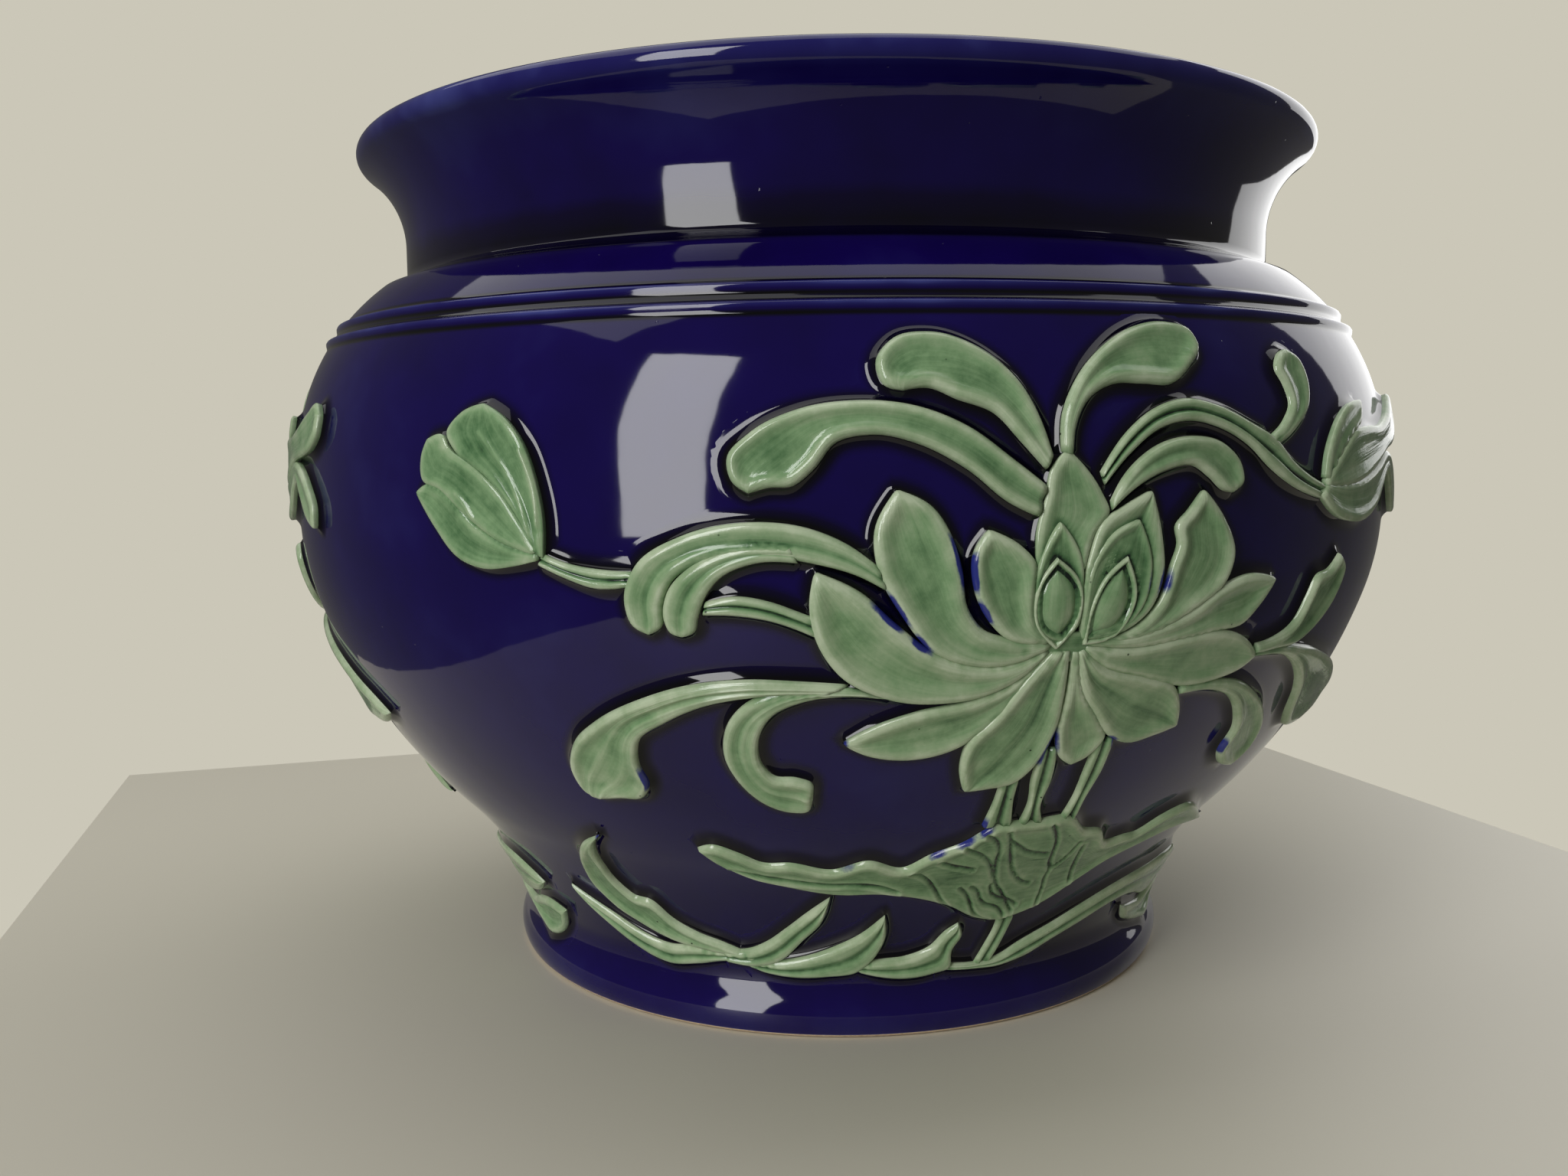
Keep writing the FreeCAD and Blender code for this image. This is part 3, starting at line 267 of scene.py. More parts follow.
# Cobalt-stained lead glaze, dipped and fired: a thick clear blue glass, bright where it is thin
# over the clay and nearly black where it pooled, with a slightly wavy fire-polished skin and
# tiny pits where bubbles burst.
def cobalt_glaze():
    material = bpy.data.materials.new("cobalt_glaze")
    material.use_nodes = True
    tree = material.node_tree
    shader = tree.nodes["Principled BSDF"]
    place = add_node(tree, "ShaderNodeTexCoord").outputs["Object"]
    pooled = add_node(tree, "ShaderNodeAttribute", (("attribute_name", "pooled"),)).outputs["Fac"]
    cloud = add_node(tree, "ShaderNodeTexNoise",
                     (("Scale", every(38)), ("Detail", 3.0), ("Roughness", 0.55)),
                     (("Vector", place),)).outputs["Fac"]
    colour = colour_stops(tree, scaled(tree, cloud, factor=0.5, shift=-0.25, base=pooled),
                          ((0.0, "#3a3f7c"), (0.12, "#1e1c5a"), (0.30, "#110548"), (0.62, "#090326"),
                           (1.0, "#040407")))
    tree.links.new(colour, shader.inputs["Base Color"])
    wave = add_node(tree, "ShaderNodeTexNoise", (("Scale", every(16)), ("Detail", 2.0)),
                    (("Vector", place),))
    skin = add_node(tree, "ShaderNodeBump", (("Strength", 0.30), ("Distance", 0.00022)),
                    (("Height", wave.outputs["Fac"]),))
    pits = add_node(tree, "ShaderNodeTexVoronoi", (("Scale", every(10.5)),), (("Vector", place),))
    pit = colour_stops(tree, pits.outputs["Distance"], ((0.015, "#000000"), (0.035, "#ffffff")))
    pitted = add_node(tree, "ShaderNodeBump", (("Strength", 0.5), ("Distance", 0.0001)),
                      (("Height", pit), ("Normal", skin.outputs["Normal"])))
    tree.links.new(pitted.outputs["Normal"], shader.inputs["Normal"])
    shader.inputs["Roughness"].default_value = 0.05
    shader.inputs["IOR"].default_value = 1.45
    return material


# Bare earthenware: the buff biscuit shows where the glaze was wiped from the foot before firing.
# Its grit is drawn about a millimetre coarse, so that it shows.
def bare_earthenware():
    material = bpy.data.materials.new("bare_earthenware")
    material.use_nodes = True
    tree = material.node_tree
    shader = tree.nodes["Principled BSDF"]
    place = add_node(tree, "ShaderNodeTexCoord")
    grain = add_node(tree, "ShaderNodeTexNoise", (("Scale", every(1.1)), ("Detail", 4.0)),
                     (("Vector", place.outputs["Object"]),))
    colour = colour_stops(tree, grain.outputs["Fac"], ((0.3, "#b79d80"), (0.7, "#d8c4a8")))
    tree.links.new(colour, shader.inputs["Base Color"])
    bump = add_node(tree, "ShaderNodeBump", (("Strength", 0.4), ("Distance", 0.0001)),
                    (("Height", grain.outputs["Fac"]),))
    tree.links.new(bump.outputs["Normal"], shader.inputs["Normal"])
    shader.inputs["Roughness"].default_value = 0.85
    return material


cobalt = cobalt_glaze()
pot = finished(body_mesh, "pot_body_glazed", (cobalt, bare_earthenware()))
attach(pot, "root")
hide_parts("pot_body")


# The relief is a water lily in green glaze, repeated three times round the pot. Each leaf or
# petal lies between two edges that run from its root to its tip. Their points are shares in
# thousandths: across the repeat from the flower's centre line, and up the field from its foot.
REPEATS, FIELD_DROP, FIELD_GAP, END_GAP, LEAST_SPAN = 3, 0.003, 0.005, 0.001, 1e-9
ACROSS = math.tau / REPEATS * BELLY_RADIUS
field_low = waist_level - FIELD_DROP
UP = bead_levels[0] - FIELD_GAP - field_low


def on_wall(across, up, out):
    height = min(max(field_low + up, END_GAP), shoulder_edge - END_GAP)
    for arc in WALL_ARCS:
        if height <= arc_point(arc, arc[4])[1]:
            break
    turn = math.asin((height - arc[1]) / arc[2])
    radius, level = arc_point(arc, turn, out)
    angle = across / BELLY_RADIUS
    return radius * math.sin(angle), -radius * math.cos(angle), level


# A smooth curve runs through an edge's points. Its steps can crowd towards the tip.
def smooth_edge(shares, count, crowd=1.0):
    points = numpy.array(shares) / 1000 * (ACROSS, UP)
    gaps = numpy.linalg.norm(numpy.diff(points, axis=0), axis=1)
    slopes = numpy.diff(points, axis=0) / gaps[:, None]
    lean = numpy.empty_like(points)
    weight = gaps[1:] / (gaps[:-1] + gaps[1:])
    lean[1:-1] = slopes[:-1] * weight[:, None] + slopes[1:] * (1 - weight)[:, None]
    lean[0] = 1.5 * slopes[0] - 0.5 * lean[1]
    lean[-1] = 1.5 * slopes[-1] - 0.5 * lean[-2]
    marks = numpy.concatenate(([0.0], numpy.cumsum(gaps)))
    along = marks[-1] * (1 - (1 - numpy.linspace(0, 1, count)) ** crowd)
    piece = numpy.clip(numpy.searchsorted(marks, along, side="right") - 1, 0, len(gaps) - 1)
    share = ((along - marks[piece]) / gaps[piece])[:, None]
    gap = gaps[piece][:, None]
    return (points[piece] * (1 + 2 * share) * (1 - share) ** 2
            + points[piece + 1] * share ** 2 * (3 - 2 * share)
            + gap * lean[piece] * share * (1 - share) ** 2
            + gap * lean[piece + 1] * share ** 2 * (share - 1))


def away_from(path, points):
    start, span = path[:-1], numpy.diff(path, axis=0)
    size = numpy.maximum((span ** 2).sum(1), LEAST_SPAN ** 2)
    share = ((points[:, None] - start) * span).sum(2) / size
    nearest = start + numpy.clip(share, 0, 1)[:, :, None] * span
    return numpy.sqrt(((points[:, None] - nearest) ** 2).sum(2)).min(1)


def ease(value):
    value = numpy.clip(value, 0.0, 1.0)
    return value * value * (3 - 2 * value)


# A bell is 1 where a value meets its middle and fades to both sides over the given width.
def bell(value, middle, width):
    return numpy.exp(-((value - middle) / width) ** 2)


# A leaf starts as a flat grid with a back. From its upright edge it rounds up to a rim, the
# middle is pressed hollow, and ribs run along it, raised where their depth is negative. Its
# glaze, in shares of the darkest, gathers in hollows and grooves and thins on rims. Beside the
# edges of leaves laid before it the colour is darkened as painted shadow in the seam, and each
# leaf's tone setting moves its whole colour: the glaze's own tone on some leaves, painted light,
# lighter or darker, on others.
GREEN_UNDER, LEAST_WIDTH, STREAK_SHIFT = 0.0008, 0.0008, 0.001
TIP_CROWD, SIDE_CROWD = 1.25, 1.7
PLAIN_SHARE, HOLLOW_SHARE, RIM_SHARE, EDGE_SHARE = 0.36, 0.24, 0.20, 0.16
HOLLOW_START_SHARE, RIM_PLACE_SHARE, RIM_WIDTH_SHARE = 0.8, 0.6, 0.45
FULL_HOLLOW, FULL_GROOVE, EDGE_WIDTH = 0.0008, 0.0016, 0.0005
SEAM_PAINTED_SHADOW, SEAM_WIDTH, SEAM_SUNK = 0.40, 0.0009, 0.0003
laid_edges = []

# Where the blue has spilt over an edge: the place and the reach, in thousandths as well.
SPILL_FADE, SPILL_END = 0.0011, 0.00165
SPILL_SHARES = (
    (-84, 710, 30), (-118, 640, 35), (-102, 600, 20), (-69, 690, 30), (-62, 640, 20), (54, 672, 20),
    (-4, 445, 30), (-145, 256, 20), (-66, 275, 22), (-45, 292, 22), (-30, 312, 18), (-298, 392, 20),
    (48, 445, 12), (-150, 462, 12), (-376, 274, 10), (182, 400, 14),
)


def beside_laid(spots):
    tree = kdtree.KDTree(len(laid_edges))
    for number, spot in enumerate(laid_edges):
        tree.insert((*spot, 0.0), number)
    tree.balance()
    return numpy.array([tree.find((*spot, 0.0))[2] for spot in spots])


def spilt_over(spots, deep):
    spilt = numpy.zeros(len(spots))
    for across_share, up_share, reach_share in numpy.array(SPILL_SHARES) / 1000:
        gap = numpy.hypot(spots[:, 0] - across_share * ACROSS, spots[:, 1] - up_share * UP)
        spill = bell(gap, 0.0, reach_share * UP) * ease((SPILL_END - deep) / SPILL_FADE)
        spilt = numpy.maximum(spilt, spill)
    return spilt


# A doubled sheet is a flat grid one metre square and a copy of it, joined round their edges.
def doubled_sheet(mesh, along, across):
    back = bmesh.ops.create_grid(mesh, x_segments=along, y_segments=across, size=0.5)["verts"]
    faces = list(dict.fromkeys(face for vert in back for face in vert.link_faces))
    raised = bmesh.ops.extrude_face_region(mesh, geom=faces, use_keep_orig=True)["geom"]
    return [item for item in raised if isinstance(item, bmesh.types.BMVert)], back


def add_leaf(mesh, edges, rise=0.0032, edge=0.0015, rim=0.0015, hollow=0.0006, hollow_width=0.0030,
             swell=0.0, tone_and_painted_light=0.0, ribs=(), along=48, across=24, carve=None):
    first, second = [smooth_edge(shares, along + 1, TIP_CROWD) for shares in edges]
    names = ("pooled", "spilt", "streak_along", "streak_across")
    for name in names:
        if mesh.verts.layers.float.get(name) is None:
            mesh.verts.layers.float.new(name)
    layers = [mesh.verts.layers.float[name] for name in names]

    # The grid's points slide to places between the two edges and crowd towards them.
    top, back = doubled_sheet(mesh, along, across)
    spots = numpy.array([(vert.co.x + 0.5, vert.co.y + 0.5) for vert in top])
    index = numpy.rint(spots[:, 0] * along).astype(int)
    side = 2 * spots[:, 1] - 1
    side = numpy.sign(side) * (1 - (1 - numpy.abs(side)) ** SIDE_CROWD)
    flat = first[index] * ((1 - side) / 2)[:, None] + second[index] * ((1 + side) / 2)[:, None]
    deep = numpy.minimum(away_from(first, flat), away_from(second, flat))
    open_width = numpy.linalg.norm(second - first, axis=1)[index][:, None]
    flat += swell * side[:, None] * (second - first)[index] / numpy.maximum(open_width, LEAST_WIDTH)

    # The form is pressed from edge to rim to hollow, and the glaze gathers by it.
    lift = edge + (rise - edge) * numpy.sqrt(1 - (1 - numpy.clip(deep / rim, 0, 1)) ** 2)
    dip = ease((deep - HOLLOW_START_SHARE * rim) / hollow_width)
    lift -= hollow * dip
    # The tone setting moves a leaf's whole colour: the glaze's own tone on some leaves, painted light,
    # lighter or darker, on others.
    pooled = PLAIN_SHARE + tone_and_painted_light + HOLLOW_SHARE * dip * min(1.0, hollow / FULL_HOLLOW)
    pooled -= RIM_SHARE * bell(deep / rim, RIM_PLACE_SHARE, RIM_WIDTH_SHARE)
    pooled -= EDGE_SHARE * bell(deep, 0.0, EDGE_WIDTH)
    grooves = [depth * bell(side, centre, width) for centre, width, depth in ribs]
    if carve is not None:
        grooves.append(carve(flat))
    for groove in grooves:
        groove *= ease(deep / rim)
        lift -= groove
        pooled += groove / FULL_GROOVE

    # Beside the edges of leaves already laid it sinks a little, and its colour is darkened there as painted
    # shadow in the seam.
    if laid_edges:
        seam = bell(beside_laid(flat), 0.0, SEAM_WIDTH)
        pooled += SEAM_PAINTED_SHADOW * seam
        lift -= SEAM_SUNK * seam

    # Streaks follow the leaf by its length and width in metres, and start at another place on each.
    length = numpy.linalg.norm(numpy.diff(first + second, axis=0), axis=1).sum() / 2
    width = numpy.linalg.norm(first - second, axis=1).max()
    run = index / along * length + STREAK_SHIFT * len(laid_edges)
    values = (numpy.clip(pooled, 0, 1), spilt_over(flat, deep), run, side * width / 2)
    for number, (vert, spot) in enumerate(zip(top, flat)):
        vert.co = on_wall(spot[0], spot[1], max(lift[number], 0.0))
        for layer, column in zip(layers, values):
            vert[layer] = float(column[number])

    # The back follows the wall just under its surface.
    for vert in back:
        row = round((vert.co.x + 0.5) * along)
        share = vert.co.y + 0.5
        spot = first[row] * (1 - share) + second[row] * share
        vert.co = on_wall(spot[0], spot[1], -GREEN_UNDER)
        vert[layers[0]] = 1.0
    for path in (first, second):
        laid_edges.extend(path[::2].tolist())
    return first, second


# Green glaze, brushed on thick: a copper green that runs thin and pale over raised rims and
# gathers darker in hollows, with streaks along each leaf, a few pinholes, and blue at its edges
# where the cobalt glaze has spilt over. Its darkness also carries painted shadow in the seams
# between leaves and in the flower's heart, and painted light on some leaves.
def green_glaze():
    material = bpy.data.materials.new("green_glaze")
    material.use_nodes = True
    tree = material.node_tree
    shader = tree.nodes["Principled BSDF"]
    place = add_node(tree, "ShaderNodeTexCoord").outputs["Object"]
    pooled, spilt, run, side = [
        add_node(tree, "ShaderNodeAttribute", (("attribute_name", name),)).outputs["Fac"]
        for name in ("pooled", "spilt", "streak_along", "streak_across")]
    cloud = add_node(tree, "ShaderNodeTexNoise",
                     (("Scale", every(9)), ("Detail", 5.0), ("Roughness", 0.65)),
                     (("Vector", place),)).outputs["Fac"]
    strand = add_node(tree, "ShaderNodeCombineXYZ", (),
                      (("X", scaled(tree, run, every(22))), ("Y", scaled(tree, side, every(1.4)))))
    streak = add_node(tree, "ShaderNodeTexNoise", (("Scale", 1.0), ("Detail", 3.0), ("Roughness", 0.55)),
                      (("Vector", strand.outputs["Vector"]),)).outputs["Fac"]
    depth = scaled(tree, cloud, factor=0.95, shift=-0.49, base=pooled)
    depth = scaled(tree, streak, factor=0.40, shift=-0.20, base=depth)
    colour = colour_stops(tree, depth, ((0.0, "#b9c7a8"), (0.22, "#9bb08b"), (0.5, "#7b9b70"),
                                        (0.8, "#4c7049"), (1.0, "#16221c")))
    spill = colour_stops(tree, scaled(tree, cloud, factor=1.2, shift=-0.6, base=spilt),
                         ((0.34, "#000000"), (0.66, "#ffffff")))
    colour = add_node(tree, "ShaderNodeMixRGB", (("Color2", linear("#2a327c")),),
                      (("Fac", spill), ("Color1", colour))).outputs["Color"]
    pits = add_node(tree, "ShaderNodeTexVoronoi", (("Scale", every(8.3)),), (("Vector", place),))
    pit = colour_stops(tree, pits.outputs["Distance"], ((0.018, "#3a3f33"), (0.045, "#ffffff")))
    colour = add_node(tree, "ShaderNodeMixRGB", (("blend_type", "MULTIPLY"), ("Fac", 1.0)),
                      (("Color1", colour), ("Color2", pit))).outputs["Color"]
    tree.links.new(colour, shader.inputs["Base Color"])
    bump = add_node(tree, "ShaderNodeBump", (("Strength", 0.5), ("Distance", 0.00022)),
                    (("Height", streak),))
    ripple = add_node(tree, "ShaderNodeBump", (("Strength", 0.35), ("Distance", 0.0003)),
                      (("Height", cloud), ("Normal", bump.outputs["Normal"])))
    tree.links.new(ripple.outputs["Normal"], shader.inputs["Normal"])
    shader.inputs["Roughness"].default_value = 0.13
    shader.inputs["IOR"].default_value = 1.5
    return material


green = green_glaze()


# Each sprig is pressed once for every repeat and luted on. The blue glaze creeps up against its
# foot and dries there in a dark pool a few millimetres wide, which is a second, thin piece.
POOL_REACH = (-0.0008, 0.0, 0.0003, 0.0007, 0.0012, 0.0018, 0.0025, 0.0033, 0.0042, 0.0052)
POOL_CLIMB, POOL_CLIMB_REACH, POOL_SKIN, POOL_FALL = 0.0014, 0.0028, 0.00007, 0.00010
POOL_UNDER, POOL_FULL_REACH, POOL_FADE_REACH, POOL_FADE_POWER = 0.0009, 0.0004, 0.0040, 0.6
TOO_NEAR, WELD = 0.00004, 2e-6


def pool_rise(reach):
    climb = POOL_CLIMB * max(0.0, 1 - max(reach, 0.0) / POOL_CLIMB_REACH) ** 2
    return climb + POOL_SKIN - POOL_FALL * max(reach, 0.0) / POOL_REACH[-1]


def add_pool(mesh, first, second):
    pooled_layer = mesh.verts.layers.float.get("pooled") or mesh.verts.layers.float.new("pooled")

    # The leaf's two edges become one closed loop, and each of its points gets an outward direction.
    loop = numpy.concatenate((first, second[::-1]))
    apart = numpy.linalg.norm(numpy.diff(loop, axis=0), axis=1) > TOO_NEAR
    loop = loop[numpy.concatenate(([True], apart))]
    if numpy.linalg.norm(loop[0] - loop[-1]) < TOO_NEAR:
        loop = loop[:-1]
    area = (loop[:, 0] * numpy.roll(loop[:, 1], -1) - loop[:, 1] * numpy.roll(loop[:, 0], -1)).sum()
    ahead, behind = numpy.roll(loop, -1, axis=0) - loop, loop - numpy.roll(loop, 1, axis=0)
    ahead /= numpy.linalg.norm(ahead, axis=1)[:, None]
    behind /= numpy.linalg.norm(behind, axis=1)[:, None]
    heading = ahead + behind + LEAST_SPAN
    heading /= numpy.linalg.norm(heading, axis=1)[:, None]
    outward = numpy.stack((heading[:, 1], -heading[:, 0]), axis=1) * (1 if area > 0 else -1)

    # The pool is a strip round that loop, from just inside the leaf out to its own thin edge.
    count, rows = len(loop), len(POOL_REACH) - 1
    top, back = doubled_sheet(mesh, count, rows)
    for verts, sunk in ((top, 0.0), (back, POOL_UNDER)):
        for vert in verts:
            place = round((vert.co.x + 0.5) * count) % count
            reach = POOL_REACH[round((vert.co.y + 0.5) * rows)]
            spot = loop[place] + outward[place] * reach
            share = float(ease((reach - POOL_FULL_REACH) / POOL_FADE_REACH))
            vert[pooled_layer] = 1.0 + (WALL_SHARE - 1.0) * share ** POOL_FADE_POWER
            vert.co = on_wall(spot[0], spot[1], pool_rise(reach) - sunk)


# A sprig's leaves are laid in the order of their settings. It becomes two pieces for each repeat:
# the green relief, and the blue pool round it.
def lay_sprig(name, table, **settings):
    mesh, pool = bmesh.new(), bmesh.new()
    for leaf, setting in settings.items():
        add_pool(pool, *add_leaf(mesh, table[leaf], **setting))
    for part, suffix, material, slot in ((mesh, "relief", green, "green_glaze"),
                                         (pool, "pool", cobalt, "cobalt_glaze")):
        bmesh.ops.remove_doubles(part, verts=part.verts, dist=WELD)
        bmesh.ops.recalc_face_normals(part, faces=part.faces)
        for face in part.faces:
            face.smooth = True
        for repeat in range(REPEATS):
            piece = finished(part, f"{name}_{repeat + 1}_{suffix}", (material,))
            piece.data.transform(Matrix.Rotation(math.tau * repeat / REPEATS, 4, "Z"))
            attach(piece, "root")
            if suffix == "relief":
                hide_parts(f"{name}_{repeat + 1}")


# The flower is one clay sprig: petals pressed over one another, with rolled pale rims and hollow
# middles. In front stand two seeds, smooth ovals with a pale ring round each, in pointed cups.
# All of them meet in a small knot, its heart. Sizes are in metres.
FLOWER_SHARES = {
    "heart": (
        ((-34, 588), (-20, 603), (-4, 608), (12, 604), (28, 592)),
        ((-34, 588), (-20, 574), (-4, 568), (12, 573), (28, 592))),
    "seed_left": (
        ((-14, 600), (-27, 628), (-27, 667), (-18, 693)),
        ((-14, 600), (-4, 628), (-5, 667), (-18, 693))),
    "seed_right": (
        ((8, 603), (9, 640), (16, 672), (27, 691)),
        ((8, 603), (26, 611), (34, 645), (27, 691))),
    "cup_left": (
        ((-11, 596), (-26, 612), (-31, 655), (-29, 705), (-17, 750)),
        ((-9, 596), (-1, 615), (0, 660), (-4, 710), (-17, 750))),
    "cup_right": (
        ((4, 598), (2, 640), (6, 700), (20, 735), (37, 750)),
        ((6, 598), (30, 606), (44, 640), (47, 690), (37, 750))),
    "pointed": (
        ((4, 597), (1, 640), (3, 700), (12, 748), (28, 768), (46, 786)),
        ((6, 597), (30, 604), (50, 635), (56, 675), (53, 730), (46, 786))),
    "inner_left": (
        ((-22, 595), (-46, 605), (-60, 632), (-69, 670), (-70, 715), (-62, 742)),
        ((-18, 600), (-29, 625), (-32, 660), (-33, 700), (-42, 720), (-62, 742))),
    "blunt_left": (
        ((-14, 584), (-30, 545), (-45, 497), (-62, 455), (-64, 415), (-58, 380)),
        ((-4, 584), (-1, 520), (-1, 465), (-8, 420), (-20, 392), (-42, 383), (-58, 380))),
    "blunt_right": (
        ((6, 584), (25, 556), (60, 537), (90, 515), (101, 485), (107, 455)),
        ((4, 582), (12, 530), (28, 490), (45, 455), (66, 439), (88, 446), (107, 455))),
    "tall_left": (
        ((-18, 588), (-40, 571), (-70, 572), (-92, 590), (-113, 640), (-127, 695), (-129, 745),
         (-117, 793)),
        ((-18, 596), (-48, 603), (-62, 614), (-74, 645), (-78, 690), (-85, 735), (-97, 772), (-117, 793))),
    "side_lower": (
        ((8, 588), (45, 580), (85, 590), (118, 593), (145, 576), (163, 550)),
        ((8, 584), (22, 562), (55, 540), (95, 520), (130, 524), (150, 534), (163, 550))),
    "side_upper": (
        ((10, 594), (50, 602), (85, 626), (108, 654), (135, 668), (160, 660)),
        ((10, 590), (45, 583), (80, 588), (112, 596), (135, 603), (148, 628), (160, 660))),
    "tall_right": (
        ((12, 597), (40, 606), (57, 640), (64, 690), (68, 715), (66, 738), (76, 760), (87, 785)),
        ((12, 592), (55, 598), (85, 628), (108, 660), (114, 700), (104, 745), (87, 785))),
    "low_left": (
        ((-18, 582), (-30, 556), (-50, 532), (-85, 519), (-120, 527), (-150, 560), (-164, 605), (-168, 650),
         (-165, 692)),
        ((-18, 586), (-45, 566), (-72, 570), (-95, 590), (-118, 627), (-138, 665), (-165, 692))),
    "small_low": (
        ((0, 582), (2, 520), (3, 460), (10, 428), (22, 411)),
        ((4, 582), (14, 525), (32, 480), (42, 452), (34, 424), (22, 411))),
    "thin_left": (
        ((-16, 584), (-35, 545), (-60, 520), (-100, 502), (-128, 482), (-148, 460)),
        ((-10, 582), (-28, 535), (-48, 482), (-75, 447), (-110, 436), (-135, 446), (-148, 460))),
    "back": (
        ((-30, 690), (-31, 735), (-25, 785), (-22, 815), (-12, 840)),
        ((0, 690), (6, 735), (15, 760), (10, 785), (0, 815), (-12, 840))),
}
RING_SHARE = 1.28
for side in ("left", "right"):
    seed = FLOWER_SHARES["seed_" + side]
    centre = numpy.array(seed[0] + seed[1]).mean(axis=0)
    FLOWER_SHARES["ring_" + side] = [centre + RING_SHARE * (numpy.array(edge) - centre) for edge in seed]

SEED = dict(rise=0.0034, edge=0.0012, rim=0.0045, hollow=0.0, tone_and_painted_light=0.22, along=30, across=18)
RING = dict(rise=0.0032, edge=0.0024, rim=0.0009, hollow=0.0014, hollow_width=0.0008, tone_and_painted_light=-0.1)
CUP = dict(rise=0.0031, edge=0.0020, rim=0.0010, hollow=0.0007, hollow_width=0.0016, swell=0.0003,
           tone_and_painted_light=0.08)
# The petals' colour is lifted a little as painted light, where the lamps leave them darker than the leaves
# above; the back petal keeps the plain colour.
PETAL = dict(edge=0.0020, swell=0.0004, tone_and_painted_light=-0.08)
lay_sprig(
    "flower", FLOWER_SHARES,
    # The heart's colour is darkened as painted shadow, so that the gaps between the petals look like
    # shadowed glaze.
    heart=dict(rise=0.0023, edge=0.0021, rim=0.0008, hollow=0.0, tone_and_painted_light=0.34, along=16, across=12),
    seed_left=SEED, seed_right=SEED, ring_left=RING, ring_right=RING, cup_left=CUP, cup_right=CUP,
    pointed=dict(PETAL, rise=0.0031, rim=0.0014, hollow=0.0007, ribs=((0.0, 0.14, 0.0004),)),
    inner_left=dict(PETAL, rise=0.0033, rim=0.0016, hollow=0.0012),
    blunt_left=dict(PETAL, rise=0.0033, rim=0.0016, hollow=0.0009, ribs=((0.15, 0.10, 0.0004),)),
    blunt_right=dict(PETAL, rise=0.0031, rim=0.0016, hollow=0.0009, ribs=((0.0, 0.12, 0.0004),)),
    tall_left=dict(PETAL, rise=0.0033, rim=0.0018, hollow=0.0013, hollow_width=0.0042),
    side_lower=dict(PETAL, rise=0.0031, hollow=0.0009),
    side_upper=dict(PETAL, rise=0.0031, hollow=0.0009),
    tall_right=dict(PETAL, rim=0.0017, hollow=0.0011),
    low_left=dict(PETAL, rise=0.0033, rim=0.0019, hollow=0.0014, hollow_width=0.0048),
    small_low=dict(PETAL, rise=0.0029, hollow=0.0008),
    thin_left=dict(PETAL, rise=0.0029, hollow=0.0008),
    back=dict(PETAL, rise=0.0028, hollow=0.0007, tone_and_painted_light=0.0),
)


# The arching leaf left of the flower ends in two rolled lobes, side by side. Like every sprig it
# is pressed in clay by itself, luted to the wall and brushed with green glaze.
ARCHING_LEAF_SHARES = {
    "lobe": (
        ((-180, 725), (-215, 722), (-240, 700), (-256, 665), (-259, 630), (-256, 615), (-248, 609)),
        ((-175, 704), (-200, 704), (-222, 685), (-232, 660), (-237, 635), (-240, 616), (-248, 609))),
    "blade": (
        ((-128, 700), (-145, 726), (-170, 748), (-205, 755), (-245, 738), (-275, 700), (-284, 655),
         (-280, 622), (-270, 611)),
        ((-122, 668), (-140, 688), (-165, 703), (-200, 712), (-232, 705), (-252, 680), (-259, 650),
         (-261, 622), (-270, 611))),
}
lay_sprig(
    "arching_leaf", ARCHING_LEAF_SHARES,
    lobe=dict(rise=0.0034, edge=0.0020, rim=0.0018, hollow=0.0003, ribs=((0.05, 0.16, 0.0004),)),
    blade=dict(rise=0.0033, edge=0.0020, rim=0.0018, ribs=((0.1, 0.12, 0.0004),), along=60),
)


# The long leaf above it is a hollow channel between two rims and swells to a smooth round tip.
# It is a clay sprig of its own, luted on where the belly turns in to the shoulder.
LONG_LEAF_SHARES = {
    "blade": (
        ((-26, 798), (-45, 828), (-75, 872), (-105, 896), (-140, 903), (-175, 893), (-203, 866),
         (-217, 835), (-214, 805), (-204, 790)),
        ((-31, 757), (-48, 774), (-75, 818), (-102, 848), (-130, 861), (-152, 852), (-166, 818),
         (-178, 799), (-192, 797), (-204, 790))),
}
lay_sprig("long_leaf", LONG_LEAF_SHARES,
          blade=dict(rise=0.0034, rim=0.0018, hollow=0.0011, hollow_width=0.0024, along=72))


# Two leaves rise from behind the flower's top and roll over outwards. This is the left one, a
# hollow clay sprig luted on just under the beads.
TOP_LEFT_LEAF_SHARES = {
    "blade": (
        ((-22, 838), (-28, 875), (-42, 928), (-64, 966), (-95, 986), (-117, 978), (-128, 950), (-124, 922),
         (-112, 914)),
        ((-26, 816), (-42, 852), (-58, 886), (-80, 903), (-97, 917), (-112, 914))),
}
lay_sprig("top_left_leaf", TOP_LEFT_LEAF_SHARES, blade=dict(rise=0.0034, rim=0.0018, hollow=0.0011))


# The right one of the two top leaves leans the other way and reaches a little higher. It is
# pressed and luted on by itself too, under the same green glaze.
TOP_RIGHT_LEAF_SHARES = {
    "blade": (
        ((-16, 838), (-15, 880), (-3, 928), (18, 968), (45, 995), (72, 1002), (90, 992), (94, 970),
         (84, 946)),
        ((-8, 834), (-6, 868), (3, 900), (22, 921), (45, 922), (66, 922), (84, 946))),
}
lay_sprig("top_right_leaf", TOP_RIGHT_LEAF_SHARES, blade=dict(rise=0.0034, rim=0.0018, hollow=0.0011))


# A small curled leaf lies under the right bud's stem. It is one little press of clay, luted on
# and glazed with the rest.
SMALL_LEAF_SHARES = {
    "blade": (
        ((17, 775), (27, 808), (50, 844), (80, 856), (104, 846), (119, 818), (121, 793), (112, 780)),
        ((18, 762), (34, 789), (58, 812), (78, 817), (92, 801), (103, 784), (112, 780))),
}
lay_sprig("small_leaf", SMALL_LEAF_SHARES, blade=dict(rim=0.0016, hollow=0.0009))


